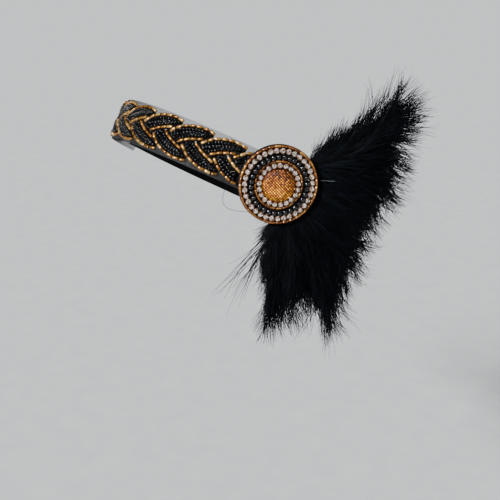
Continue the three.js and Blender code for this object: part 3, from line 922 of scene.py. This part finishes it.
felt = smooth_piece("felt_disc", felt_points, felt_faces, felt_finish)
settle(felt, "black_felt", "medallion_felt")

# %% Bead rings
SEAT_GAP = 0.3
RING_ARCH = 9
RING_SIDES = 16
RING_SEED = 20
# The medallion's bugles take the copper lustre, whose darker tone is partly painted shade.
SHADED_COPPER_BUGLES = {
    "round": False, "slack": 0.05, "finish": lustres["copper_lustre_glass"], "slot": "gold_bugles",
}
LARGE_BEADS = {
    "round": True, "slack": 0.1, "finish": jets["polished_black_glass"], "slot": "black_glass_beads",
}
RINGS = [
    {"name": "outer_bugle_ring", "radius": 22.8, "count": 36, "bead": 1.6, "hole": 0.7,
     "length": 3.75, **SHADED_COPPER_BUGLES},
    {"name": "black_bead_ring", "radius": 16.7, "count": 32, "bead": 3.4, "hole": 0.6,
     "length": 3.2, **LARGE_BEADS},
    {"name": "inner_bugle_ring", "radius": 14.0, "count": 24, "bead": 1.3, "hole": 0.5,
     "length": 3.4, **SHADED_COPPER_BUGLES},
]


def ring_cloud(name, radius, count, out, upright=False):
    """Points round the medallion that face along the ring, or straight out of the felt."""
    turn = np.arange(count) / count * 2 * math.pi
    middles = on_medallion(radius * np.cos(turn), radius * np.sin(turn), out)
    away = np.cos(turn)[:, None] * medallion_back + np.sin(turn)[:, None] * medallion_up
    along = -np.sin(turn)[:, None] * medallion_back + np.cos(turn)[:, None] * medallion_up
    outward = np.broadcast_to(medallion_out, away.shape)
    return point_cloud(name, middles, turns_of(away, outward) if upright else turns_of(outward, along))


for seed, ring in enumerate(RINGS):
    out = felt_face(ring["radius"] - ring["bead"] / 2) + SEAT_GAP / 2 + ring["bead"] / 2
    cloud = ring_cloud(ring["name"] + "_points", ring["radius"], ring["count"], out)
    beads = grow(ring["name"] + "_beads", cloud, sewn_beads, {
        "Diameter": ring["bead"] * MM, "Hole": ring["hole"] * MM, "Length": ring["length"] * MM,
        "Round": ring["round"], "Bevel": BUGLE["Bevel"], "Arch": RING_ARCH, "Sides": RING_SIDES,
        "Slack": ring["slack"], "Seed": RING_SEED + seed, "Finish": ring["finish"]})
    settle(beads, ring["slot"], ring["name"])

# %% [markdown]
# ## Stones
# A rhinestone is cut glass with foil behind it, held in a small brass cup by four claws. Clear
# glass over a mirror would be slow and dark at this size. Foil sends light back, so a facet can be
# a small tinted mirror instead, and its tint is a painted reflection. The cut is the crown of a
# brilliant: a flat top, eight stars, eight kites and sixteen girdle facets. The top is split into
# eight wedges for the cut at the back, and each facet and wedge gets a painted reflection of its own.

# %% Stone and cup finishes
# The foil's flashes are painted reflections: some facets are painted white as if lit, some the
# brown of the cups beside them. A stone's own shade, stretched past 1 and wrapped, deals its facets
# a new order of painted flashes.
PAINTED_FLASH_STRETCH = 5.3

crystal, tree = new_finish("foiled_crystal")
facet = add(tree, "ShaderNodeAttribute", attribute_name="facet")
shade = add(tree, "ShaderNodeAttribute", attribute_name="shade")
mixed = add(tree, "ShaderNodeMath",
            {0: shade.outputs["Fac"], 1: PAINTED_FLASH_STRETCH, 2: facet.outputs["Fac"]},
            operation="MULTIPLY_ADD")
painted_flash = add(tree, "ShaderNodeMath", {0: mixed.outputs[0]}, operation="FRACT")
end_finish(tree, painted_flash.outputs[0],
           [(0.0, "#2d1a14"), (0.3, "#7a6256"), (0.6, "#b8a99f"), (1.0, "#e0d9d5")],
           {"Metallic": 0.6, "Roughness": 0.14, "Coat Weight": 0.6, "Coat Roughness": 0.03})

# Stamped brass cups have a thin copper wash that has gone brown in patches, six to the centimetre.
STAIN_PATCH = 10 / 6

brass, tree = new_finish("stamped_brass")
places = add(tree, "ShaderNodeTexCoord")
stain = add(tree, "ShaderNodeTexNoise",
            {"Vector": places.outputs["Object"], "Scale": 1 / (STAIN_PATCH * MM), "Detail": 3.0})
end_finish(tree, stain.outputs["Fac"], [(0.3, "#3b2112"), (0.7, "#83552e")],
           {"Metallic": 1.0, "Roughness": 0.35})
print("finishes:", crystal.name, brass.name)

# %% One stone
# Levels are shares of the crown's height over the girdle.
STARS = 8
CROWN_HEIGHT = 1.2
KITE_LEVEL = 0.55
KITE_BULGE = 1.04
GIRDLE_LEVEL = 0.1
CULET_LEVEL = -0.6
PEAK_LEVEL = 1.04
STONE_SEED = 7


def circle(radius, height, count, shift=0.0):
    """Points of a level circle, in millimetres."""
    turn = (np.arange(count) + shift) / count * 2 * math.pi
    return [(radius * math.cos(a), radius * math.sin(a), height) for a in turn]


def cut_stone(half, top):
    """A brilliant's crown, closed by a cone below the girdle."""
    points = circle(top, CROWN_HEIGHT, STARS)
    kites = len(points)
    points += circle((half + top) / 2 * KITE_BULGE, CROWN_HEIGHT * KITE_LEVEL, STARS, 0.5)
    girdle = len(points)
    points += circle(half, GIRDLE_LEVEL * CROWN_HEIGHT, 2 * STARS)
    rim = len(points)
    points += circle(half, 0.0, 2 * STARS)
    culet = len(points)
    peak = culet + 1
    points += [(0, 0, CULET_LEVEL * CROWN_HEIGHT), (0, 0, PEAK_LEVEL * CROWN_HEIGHT)]
    faces = [(peak, i, (i + 1) % STARS) for i in range(STARS)]
    for i in range(STARS):
        a, b, c = (girdle + (2 * i + k) % (2 * STARS) for k in range(3))
        faces.append((i, kites + i, (i + 1) % STARS))
        faces.append((i, kites + (i - 1) % STARS, a, kites + i))
        faces.append((kites + i, a, b))
        faces.append((kites + i, b, c))
    for k in range(2 * STARS):
        m = (k + 1) % (2 * STARS)
        faces.append((girdle + k, rim + k, rim + m, girdle + m))
        faces.append((rim + k, culet, rim + m))
    mesh = new_mesh("one_stone", MM * np.array(points), faces)
    # Each facet gets a painted reflection, light or dark, at random.
    facet_reflections = np.random.default_rng(STONE_SEED).uniform(0, 1, len(faces))
    store(mesh, "facet", "FLOAT", "value", facet_reflections, "FACE")
    return mesh


print("height of the kites in mm:", round(CROWN_HEIGHT * KITE_LEVEL, 2))

# %% One cup
# A cup's sections are a share of the stone's radius and a level in mm. A claw's are reach and half
# width, as shares of that radius, and level.
CUP_HEIGHT = 1.4
CUP_LIP = 0.1
CUP_SIDES = 12
CUP_SECTIONS = [
    (0.75, -CUP_HEIGHT), (1.0, -CUP_HEIGHT), (1.05, -0.3 * CUP_HEIGHT),
    (1.05, CUP_LIP), (0.97, CUP_LIP), (0.97, -0.5 * CUP_HEIGHT),
]
CLAWS = 4
CLAW_SECTIONS = [(1.14, 0.3, -0.2), (1.1, 0.3, 0.35), (0.8, 0.16, 0.55), (0.85, 0.2, 0.1)]
CLAW_FACES = [(0, 1, 3, 2), (2, 3, 5, 4), (4, 5, 7, 6), (6, 7, 1, 0), (0, 2, 4, 6), (7, 5, 3, 1)]


def claw_cup(half):
    """A turned cup with a lip, and four claws bent over the stone."""
    points = []
    for share, level in CUP_SECTIONS:
        points += circle(half * share, level, CUP_SIDES)
    faces = skin(len(CUP_SECTIONS), CUP_SIDES)
    for claw in range(CLAWS):
        a = (claw + 0.5) / CLAWS * 2 * math.pi
        faces += [tuple(len(points) + v for v in face) for face in CLAW_FACES]
        for reach, width, level in CLAW_SECTIONS:
            for s in (-1, 1):
                x = half * (reach * math.cos(a) - s * width * math.sin(a))
                y = half * (reach * math.sin(a) + s * width * math.cos(a))
                points.append((x, y, level))
    return new_mesh("one_cup", MM * np.array(points), faces)


print("sections of a cup:", len(CUP_SECTIONS), "claws:", CLAWS)

# %% Stone rings
STONE_RINGS = [
    {"name": "outer_stone_ring", "radius": 20.2, "count": 35, "half": 1.66, "top": 0.95},
    {"name": "inner_stone_ring", "radius": 11.75, "count": 21, "half": 1.58, "top": 0.85},
]
STONE_RING_SEED = 31
CUP_RING_SEED = 41

for seed, ring in enumerate(STONE_RINGS):
    girdle = felt_face(ring["radius"] - ring["half"]) + SEAT_GAP / 2 + CUP_HEIGHT
    spots = ring_cloud(ring["name"] + "_points", ring["radius"], ring["count"], girdle, upright=True)
    stone = new_piece("one_stone", cut_stone(ring["half"], ring["top"]))
    cup = new_piece("one_cup", claw_cup(ring["half"]))
    stones = grow(ring["name"] + "_stones", spots.copy(), set_stones,
                  {"Stone": stone, "Seed": STONE_RING_SEED + seed, "Finish": crystal})
    cups = grow(ring["name"] + "_cups", spots, set_stones,
                {"Stone": cup, "Seed": CUP_RING_SEED + seed, "Finish": brass})
    bpy.data.objects.remove(stone)
    bpy.data.objects.remove(cup)
    settle(stones, "clear_stones", ring["name"])
    settle(cups, None, ring["name"])

# %% [markdown]
# ## Cabochon
# The middle is a shallow dome of cast resin over gold foil, with a face of small bumps set on the
# slant. Bump in the material would give no separate highlights, so the bumps are in the mesh. The
# foil goes from copper at the top to bright gold at the bottom, and that follows a height kept on
# each point.

# %% Foiled resin finish
# Clear resin over crinkled foil: a warm metal under a thin coat, with each bump a little
# different. The grooves between them are painted dark, as shade.
BUMP_CONTRAST = 0.6

foil, tree = new_finish("foiled_resin")
rise = add(tree, "ShaderNodeAttribute", attribute_name="rise")
bump_shade = add(tree, "ShaderNodeAttribute", attribute_name="bump_shade")
blend = add(tree, "ShaderNodeMath",
            {0: bump_shade.outputs["Fac"], 1: BUMP_CONTRAST, 2: rise.outputs["Fac"]},
            operation="MULTIPLY_ADD")
tone = add(tree, "ShaderNodeValToRGB", {"Fac": blend.outputs[0]},
           stops=[(0.1, "#f2b331"), (0.4, "#b7721c"), (0.75, "#763c15"), (1.0, "#3e2012")])
# The grooves between the bumps are painted darker, as shade.
groove = add(tree, "ShaderNodeAttribute", attribute_name="groove")
deep = add(tree, "ShaderNodeMix",
           {0: groove.outputs["Fac"], 6: tone.outputs["Color"], 7: linear("#1c0b03")},
           data_type="RGBA")
shader = add(tree, "ShaderNodeBsdfPrincipled", {
    "Base Color": deep.outputs[2], "Metallic": 0.85, "Roughness": 0.36, "Coat Weight": 0.1,
    "Coat Roughness": 0.2})
add(tree, "ShaderNodeOutputMaterial", {"Surface": shader.outputs["BSDF"]})
print("finish:", foil.name)

# %% Cabochon shape
# The profile's knots are a share of the radius and a height in mm. The bumps fade out at the rim.
CABOCHON_RADIUS = 10.1
CABOCHON_PROFILE = [(0, 3.8), (0.4, 3.6), (0.72, 3.1), (0.93, 2.2), (1.0, 1.1)]
BUMP_PITCH = 1.25
BUMP_HEIGHT = 0.45
BUMP_LEVEL = 0.8
BUMP_SLANT = math.radians(40)
SMOOTH_RIM = 0.06
DOME_HUB = 0.01
DOME_RINGS = 52
DOME_SIDES = 230

around = np.linspace(0, 2 * math.pi, DOME_SIDES, endpoint=False)
shares = np.linspace(DOME_HUB, 1.0, DOME_RINGS)[:, None]
back = CABOCHON_RADIUS * shares * np.cos(around)
up = CABOCHON_RADIUS * shares * np.sin(around)
row_u = (back * math.cos(BUMP_SLANT) + up * math.sin(BUMP_SLANT)) / BUMP_PITCH
row_v = (up * math.cos(BUMP_SLANT) - back * math.sin(BUMP_SLANT)) / BUMP_PITCH
bump = np.cos(math.pi * (row_u - np.round(row_u))) * np.cos(math.pi * (row_v - np.round(row_v)))
fade = np.clip((1.0 - shares) / SMOOTH_RIM, 0, 1)
base = felt_face(0) + SEAT_GAP / 2
dome = np.interp(shares, *zip(*CABOCHON_PROFILE))
height = base + dome + BUMP_HEIGHT * (bump - BUMP_LEVEL) * fade


def with_foot(ring_values):
    """The values of the dome's rings, with the last ring again for its foot."""
    return np.vstack([ring_values, ring_values[-1:]])


foot = np.full((1, DOME_SIDES), base)
dome_points = on_medallion(with_foot(back), with_foot(up), np.vstack([height, foot]))
dome_faces = [face[::-1] for face in skin(DOME_RINGS + 1, DOME_SIDES)]
cabochon = smooth_piece("cabochon", dome_points, dome_faces, foil)
print("bumps across the cabochon:", round(2 * CABOCHON_RADIUS / BUMP_PITCH))

# %% Cabochon shades
BUMP_GRID = 51
BUMP_SEED = 17
RISE_SHARE = 0.65
GROOVE_START = 0.6
GROOVE_SOFTNESS = 0.5
# How dark the painted shade in the grooves is.
GROOVE_SHADE_DARKNESS = 0.9

bump_dice = np.random.default_rng(BUMP_SEED).uniform(0, 1, (BUMP_GRID, BUMP_GRID))
row_of, column_of = (np.round(rows_of).astype(int) + BUMP_GRID // 2 for rows_of in (row_u, row_v))
dome_shades = {
    "rise": (0.5 + 0.5 * up / CABOCHON_RADIUS) * RISE_SHARE,
    "groove": np.clip((GROOVE_START - bump) / GROOVE_SOFTNESS, 0, 1) * fade * GROOVE_SHADE_DARKNESS,
    "bump_shade": bump_dice[row_of, column_of],
}
for name, values in dome_shades.items():
    store(cabochon.data, name, "FLOAT", "value", with_foot(values))
settle(cabochon, "gold_foil_cabochon", "centre_cabochon")

# %% [markdown]
# ## Marabou plumes
# Marabou is down: soft barbs, a few centimetres long, that leave a thin quill and drift apart at
# their tips. Hair particles would not come out as a plain mesh, so the barbs are lines that the
# third tree spins. The imported plume is a fan of locks, each with a quill. Quills between
# neighbouring locks are worked out too, so that the down fills the whole fan. Barbs start along the
# quills in small bunches, follow them, fan out and end ragged. Dark hearts inside the locks stand
# for the barbs too deep to see, so fewer strands are needed.

# %% Marabou finish
# Dyed down is a matt black. Its lightest, cold-blue barbs are a painted sheen.
marabou, tree = new_finish("dyed_marabou")
shade = add(tree, "ShaderNodeAttribute", attribute_name="shade")
end_finish(tree, shade.outputs["Fac"], [(0.0, "#010102"), (0.6, "#020305"), (1.0, "#0f151b")],
           {"Roughness": 0.55, "Specular IOR Level": 0.05})
print("finish:", marabou.name)

# %% Locks
# A lock's columns are where its tip lies, how far its quill bows, its half width and half depth,
# and how far out its tip lies. Both plumes close with the same lock, where they part.
LOCK_COLUMNS = ("back", "up", "bow", "width", "depth", "out")
UPPER_HEAD = {"back": 9.5, "up": 6.0, "out": -3.0}
LOWER_HEAD = {"back": 6.5, "up": -7.5, "out": -1.6}
UPPER_LOCKS = [
    (40, 31, -3, 5, 4, -5),
    (76, 58, -14, 8, 7, -4),
    (84, 48, -9, 8, 8, -7),
    (83, 37, -5, 9, 8, -3),
    (81, 26, -2, 9, 8, -8),
    (80, 14, 1, 9, 8, -4),
    (79, 2, 2, 9, 8, -8),
    (76, -10, 3, 9, 7, -4),
    (71, -22, 4, 9, 7, -8),
    (62, -35, 0, 9, 6, -4),
]
LOWER_LOCKS = [
    (-13, -44, 2, 5, 3, -3),
    (-9, -94, -2, 7, 6, -4),
    (0, -92, -1, 7, 7, -8),
    (10, -88, 0, 7, 7, -3),
    (21, -82, 1, 8, 7, -8),
    (35, -104, 3, 8, 7, -4),
    (41, -84, 5, 8, 7, -8),
    (46, -68, 5, 8, 7, -4),
    (54, -54, 4, 8, 6, -7),
]
PARTED_LOCK = (54, -43, 2, 9, 6, -5)
print("locks:", len(UPPER_LOCKS) + len(LOWER_LOCKS))

# %% Quills and the room round them
# The profile's knots are a share of the quill's length and how full the lock is there.
LOCK_PROFILE = [(0, 0.45), (0.16, 0.7), (0.4, 1), (0.68, 0.95), (0.88, 0.62), (1, 0.3), (1.3, 0.1)]
SWELL_START = 0.18
SWELL_END = 0.6
ROOT_DEPTH = 0.2
UNDER_FELT = -0.5
FELT_MARGIN = 1.5


def sideways(directions):
    """Flat directions, turned a quarter to the left."""
    return np.stack([-directions[..., 1], directions[..., 0]], -1)


def quills(head, locks, between):
    """The locks' columns at places between neighbours, and the root, bend and tip of each quill."""
    table = np.array(locks, float)
    order = np.arange(len(locks))
    row = {name: np.interp(between, order, table[:, i]) for i, name in enumerate(LOCK_COLUMNS)}
    root = np.array([head["back"], head["up"]])
    tip = np.stack([row["back"], row["up"]], -1)
    bend = (root + tip) / 2 + 2 * row["bow"][..., None] * sideways(unit(tip - root))
    return row, root, bend, tip


def on_quill(root, bend, tip, share):
    """Places at shares along the quills, and the way that the quills go there."""
    s = share[..., None]
    place = (1 - s) ** 2 * root + 2 * s * (1 - s) * bend + s ** 2 * tip
    return place, (1 - s) * (bend - root) + s * (tip - bend)


def lock_room(head, row, share):
    """How full, how far swelled, how deep and how far out a lock is at a share of its length."""
    full = np.interp(share, *zip(*LOCK_PROFILE))
    x = np.clip((share - SWELL_START) / (SWELL_END - SWELL_START), 0, 1)
    swell = x * x * (3 - 2 * x)
    depth = row["depth"] * (ROOT_DEPTH + (1 - ROOT_DEPTH) * swell)
    return full, swell, depth, head["out"] + (row["out"] - head["out"]) * swell


def behind_felt(spot, out):
    """Points on the medallion, kept behind the felt where it covers them."""
    covered = np.hypot(spot[..., 0], spot[..., 1]) < FELT_RADIUS + FELT_MARGIN
    return on_medallion(spot[..., 0], spot[..., 1], np.where(covered, np.minimum(out, UNDER_FELT), out))


print("lock is fullest at a share of", max(LOCK_PROFILE, key=lambda knot: knot[1])[0])

# %% How barbs differ
# Spreads are how far chance takes one barb from its bunch. Pairs are the least and the most.
BARB_POINTS = 5
BARB_RADIUS = 0.15
BARB_SIDES = 3
BARB_TAPER = [(0, 1.0), (0.5, 0.8), (1, 0.3)]
SHORTEST_BARB = 4.0
PLACE_SPREAD = 0.07
START_SPREAD = 0.012
START_LEAN = 0.65
REACH_GRADES = (0.8, 1.15)
SWING_SPREAD = 0.09
SWING_EASE = 0.3
CURL = 0.25
CURL_SPREAD = 0.15
RIPPLE_SIZES = (0.0, 0.22)
RIPPLE_WAVES = (4, 9)
RIPPLE_SHIFT = 9
LAYERS = [-0.9, -0.3, 0.4, 0.95, 0.95]
LAYER_SPREAD = 0.12
LAYER_LIMIT = 1.1
LAYER_AT_FOOT = 0.7
SWAY = 1.1
THICK_GRADES = (0.7, 1.1)
print("barb's width at its foot in mm:", 2 * BARB_RADIUS)


# %% Barbs
def barbs(head, locks, tuft, dice):
    """The lines, radii and shades of one tuft of down."""
    bunches = tuft["bunches"]
    bunch_of = np.repeat(np.arange(bunches), tuft["strands"])[:, None]
    each = bunch_of.shape

    def varied(by_bunch, spread):
        """A value for each bunch, with a little chance for each of its barbs."""
        return by_bunch[bunch_of] + dice.normal(0, spread, each)

    t = np.linspace(0, 1, BARB_POINTS)
    low, high = tuft["between"]
    between = np.clip(varied(dice.uniform(low, high, bunches), PLACE_SPREAD), low, high)
    row, root, bend, tip = quills(head, locks, between)
    first, last = tuft["start"]
    start = varied(first + (last - first) * dice.uniform(0, 1, bunches) ** START_LEAN, START_SPREAD)
    foot, ahead = on_quill(root, bend, tip, start)
    length = np.linalg.norm(tip - root, axis=-1)
    room = (1 + dice.uniform(*tuft["beyond"], bunches)[bunch_of] - start) * length
    reach = dice.uniform(*tuft["reach"], bunches)[bunch_of] * dice.uniform(*REACH_GRADES, each)
    if not tuft["fringe"]:
        reach = np.minimum(reach, np.maximum(room, SHORTEST_BARB))
    swing = varied(dice.normal(tuft["swing"], tuft["spread"], bunches), SWING_SPREAD)
    curl = varied(dice.normal(0, CURL, bunches), CURL_SPREAD)
    ripple = dice.uniform(*RIPPLE_SIZES, each)
    ripple = ripple * np.sin(dice.uniform(*RIPPLE_WAVES, each) * t + swing * RIPPLE_SHIFT)
    angle = np.arctan2(ahead[..., 1], ahead[..., 0]) + swing * (1 - SWING_EASE * t) + curl * t + ripple
    stride = reach / (BARB_POINTS - 1)
    step = np.stack([np.cos(angle), np.sin(angle)], -1) * stride[..., None]
    spot = foot + np.cumsum(step, axis=1) - step[:, :1]
    share = start + reach / length * np.cos(swing) * t
    full, swell, depth, middle = lock_room(head, row, share)
    layer = np.clip(varied(dice.choice(LAYERS, bunches), LAYER_SPREAD), -LAYER_LIMIT, LAYER_LIMIT)
    sway = dice.normal(0, SWAY, each) * t ** 2 * swell
    out = middle + layer * full * depth * (LAYER_AT_FOOT + (1 - LAYER_AT_FOOT) * t) + sway
    taper = np.interp(t, *zip(*BARB_TAPER))
    thick = tuft["thick"] * BARB_RADIUS * MM * taper * dice.uniform(*THICK_GRADES, each)
    return behind_felt(spot, out), thick, dice.uniform(0, 1, len(bunch_of))


def plume_piece(name, head, locks, tufts, seed):
    """Several tufts of down as one piece."""
    dice = np.random.default_rng(seed)
    parts = [barbs(head, locks[slice(*tuft["locks"])], tuft, dice) for tuft in tufts]
    lines, thick, shade = (np.concatenate([part[i] for part in parts]) for i in range(3))
    return grow(name, line_bundle(name + "_lines", lines, thick, shade), spun_strands,
                {"Sides": BARB_SIDES, "Finish": marabou})


print("points along a barb:", BARB_POINTS)

# %% Hearts
# The profile's knots are a share of the quill's length and how much of the lock the heart fills.
HEART_PROFILE = [(0.06, 0.6), (0.2, 1), (0.65, 0.85), (0.86, 0.25)]
HEART_WIDTH = 0.85
HEART_DEPTH = 0.8
HEART_STEPS = 14
HEART_SIDES = 10


def heart_piece(name, head, locks):
    """The dark hearts of the locks and of the places between them, as closed spindles."""
    count = len(locks)
    between = np.concatenate([np.arange(2, count), np.arange(1, count - 1) + 0.5])[:, None, None]
    row, root, bend, tip = quills(head, locks, between)
    along = np.linspace(HEART_PROFILE[0][0], HEART_PROFILE[-1][0], HEART_STEPS)[:, None]
    around = np.linspace(0, 2 * math.pi, HEART_SIDES, endpoint=False)
    narrow = HEART_WIDTH * np.interp(along, *zip(*HEART_PROFILE))
    aside = narrow * np.cos(around)
    outward = HEART_DEPTH * narrow * np.sin(around)
    place, ahead = on_quill(root, bend, tip, along)
    full, _, depth, middle = lock_room(head, row, along)
    spot = place + sideways(unit(ahead)) * (aside * full * row["width"])[..., None]
    points = behind_felt(spot, middle + outward * full * depth)
    spindle = skin(HEART_STEPS, HEART_SIDES)
    starts = range(0, points.size // 3, HEART_STEPS * HEART_SIDES)
    faces = [tuple(start + v for v in face) for start in starts for face in spindle]
    return smooth_piece(name, points, faces, marabou)


print("sides of a heart:", HEART_SIDES)

# %% Plumes
# A tuft grows from some of the locks, between two places in that row of them. It has bunches of
# strands that start at these shares of the quill, reach this far in mm, and end this far beyond the
# tip as a share of the quill. They swing from the quill by this turn and spread, in radians. A
# fringe may pass its end, and thick is a share of a barb's usual thickness.
TUFT_COLUMNS = ("locks", "between", "bunches", "strands", "start", "reach", "beyond", "swing", "spread",
                "fringe", "thick")
UPPER_TUFTS = [
    ((1, 11), (0, 9), 500, 8, (0.06, 0.88), (14, 28), (-0.22, -0.05), -0.15, 0.25, False, 1.0),
    ((8, 11), (0, 2), 50, 8, (0.4, 0.85), (12, 20), (-0.25, -0.08), 0.0, 0.25, False, 1.0),
    ((0, 2), (0, 1), 70, 8, (0.08, 0.6), (10, 18), (-0.45, -0.2), 0.2, 0.25, False, 1.0),
    ((0, 2), (0.45, 1), 16, 4, (0.5, 0.82), (15, 26), (0, 0), 0.12, 0.18, True, 1.4),
    ((0, 2), (0, 0.8), 44, 5, (0.25, 0.7), (9, 15), (0, 0), 0.45, 0.25, True, 1.3),
    ((1, 4), (0, 2), 60, 8, (0.5, 0.85), (10, 18), (-0.25, -0.1), -0.18, 0.25, False, 1.0),
    ((2, 11), (0, 8), 100, 4, (0.7, 0.9), (16, 30), (0.04, 0.2), -0.6, 0.28, False, 1.4),
    ((1, 4), (0, 2), 26, 3, (0.72, 0.92), (14, 24), (0.0, 0.14), -0.1, 0.35, False, 1.4),
]
LOWER_TUFTS = [
    ((1, 10), (0, 8), 460, 8, (0.06, 0.86), (14, 28), (-0.28, -0.1), 0.0, 0.18, False, 1.0),
    ((1, 3), (0, 0.3), 24, 4, (0.15, 0.8), (9, 16), (0, 0), -0.18, 0.15, True, 1.1),
    ((0, 2), (0, 0.5), 46, 7, (0.25, 0.85), (9, 16), (0, 0), 0.25, 0.15, True, 1.0),
    ((0, 1), (0, 0), 8, 1, (0.65, 0.92), (31, 45), (0, 0), 0.0, 0.14, True, 2.0),
    ((0, 1), (0, 0), 2, 1, (0.5, 0.6), (30, 38), (0, 0), -0.3, 0.05, True, 2.0),
    ((5, 6), (0, 0), 16, 5, (0.6, 0.85), (14, 24), (-0.1, 0.03), 0.0, 0.12, False, 1.0),
    ((1, 10), (0, 8), 150, 3, (0.6, 0.88), (22, 38), (0.0, 0.145), 0.02, 0.22, False, 1.5),
    ((0, 1), (0, 0), 40, 6, (0.1, 0.5), (10, 18), (0, 0), -0.3, 0.16, True, 1.1),
]
PLUMES = [
    {"node": "plume_upper", "head": UPPER_HEAD, "locks": UPPER_LOCKS, "tufts": UPPER_TUFTS, "seed": 51},
    {"node": "plume_lower", "head": LOWER_HEAD, "locks": LOWER_LOCKS, "tufts": LOWER_TUFTS, "seed": 61},
]

for plume in PLUMES:
    locks = plume["locks"] + [PARTED_LOCK]
    tufts = [dict(zip(TUFT_COLUMNS, row)) for row in plume["tufts"]]
    for half in (0, 1):
        name = f"{plume['node']}_barbs_{half + 1}"
        piece = plume_piece(name, plume["head"], locks, tufts, plume["seed"] + half)
        settle(piece, "black_marabou", plume["node"])
    heart = heart_piece(plume["node"] + "_heart", plume["head"], locks)
    settle(heart, "black_marabou", plume["node"])

# %% [markdown]
# ## Stray barb and bare quill
# One long barb has slipped out from under the felt and curls up to the band's lower edge. Beside the
# felt a few millimetres of bare quill lie on the down, drawn pale, partly as a painted glint. Both
# are single strands, so a short table of places on the medallion and the third tree are enough.

# %% Quill finish
# A quill is horn: smooth and a little glossy, clouded every 2.5 mm. Its pale grey is partly its
# own colour and partly a painted glint.
HORN_CLOUD = 2.5

horn, tree = new_finish("feather_quill")
places = add(tree, "ShaderNodeTexCoord")
cloud = add(tree, "ShaderNodeTexNoise",
            {"Vector": places.outputs["Object"], "Scale": 1 / (HORN_CLOUD * MM)})
end_finish(tree, cloud.outputs["Fac"], [(0.3, "#3d4347"), (0.7, "#666e73")],
           {"Roughness": 0.35, "IOR": 1.54})
print("finish:", horn.name)

# %% Strays
STRAY_STEPS = 40
STRAY_SIDES = 6
STRAY_TAPER = [(0, 0.4), (0.15, 1), (0.85, 1), (1, 0.4)]
STRAY_SHADE = 0.5
STRAYS = [
    {"name": "stray_barb", "radius": 0.14, "finish": marabou, "slot": "black_marabou", "places": [
        (-30.0, 1.6, -1.5), (-32.3, -7.5, -2.4), (-30.6, -12.6, -3), (-24.2, -15.5, -3),
        (-15, -16.6, -1.5)]},
    {"name": "bare_quill", "radius": 0.13, "finish": horn, "slot": None, "places": [
        (25.6, 0.3, -0.4), (29, 0.1, -0.1), (34.8, -0.6, 0.2)]},
]

for stray in STRAYS:
    route = eased(stray["places"])
    where = np.linspace(0, reach_of(route)[-1], STRAY_STEPS)
    taper = np.interp(where / where[-1], *zip(*STRAY_TAPER))
    line = on_medallion(*spots_on(route, where))[None]
    bundle = line_bundle(stray["name"] + "_line", line, stray["radius"] * MM * taper, STRAY_SHADE)
    strand = grow(stray["name"], bundle, spun_strands,
                  {"Sides": STRAY_SIDES, "Finish": stray["finish"]})
    settle(strand, stray["slot"])

# %% [markdown]
# ## Close
# The dressed object may stand a little proud of its solids, as down does.

# %% Finish
low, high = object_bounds()
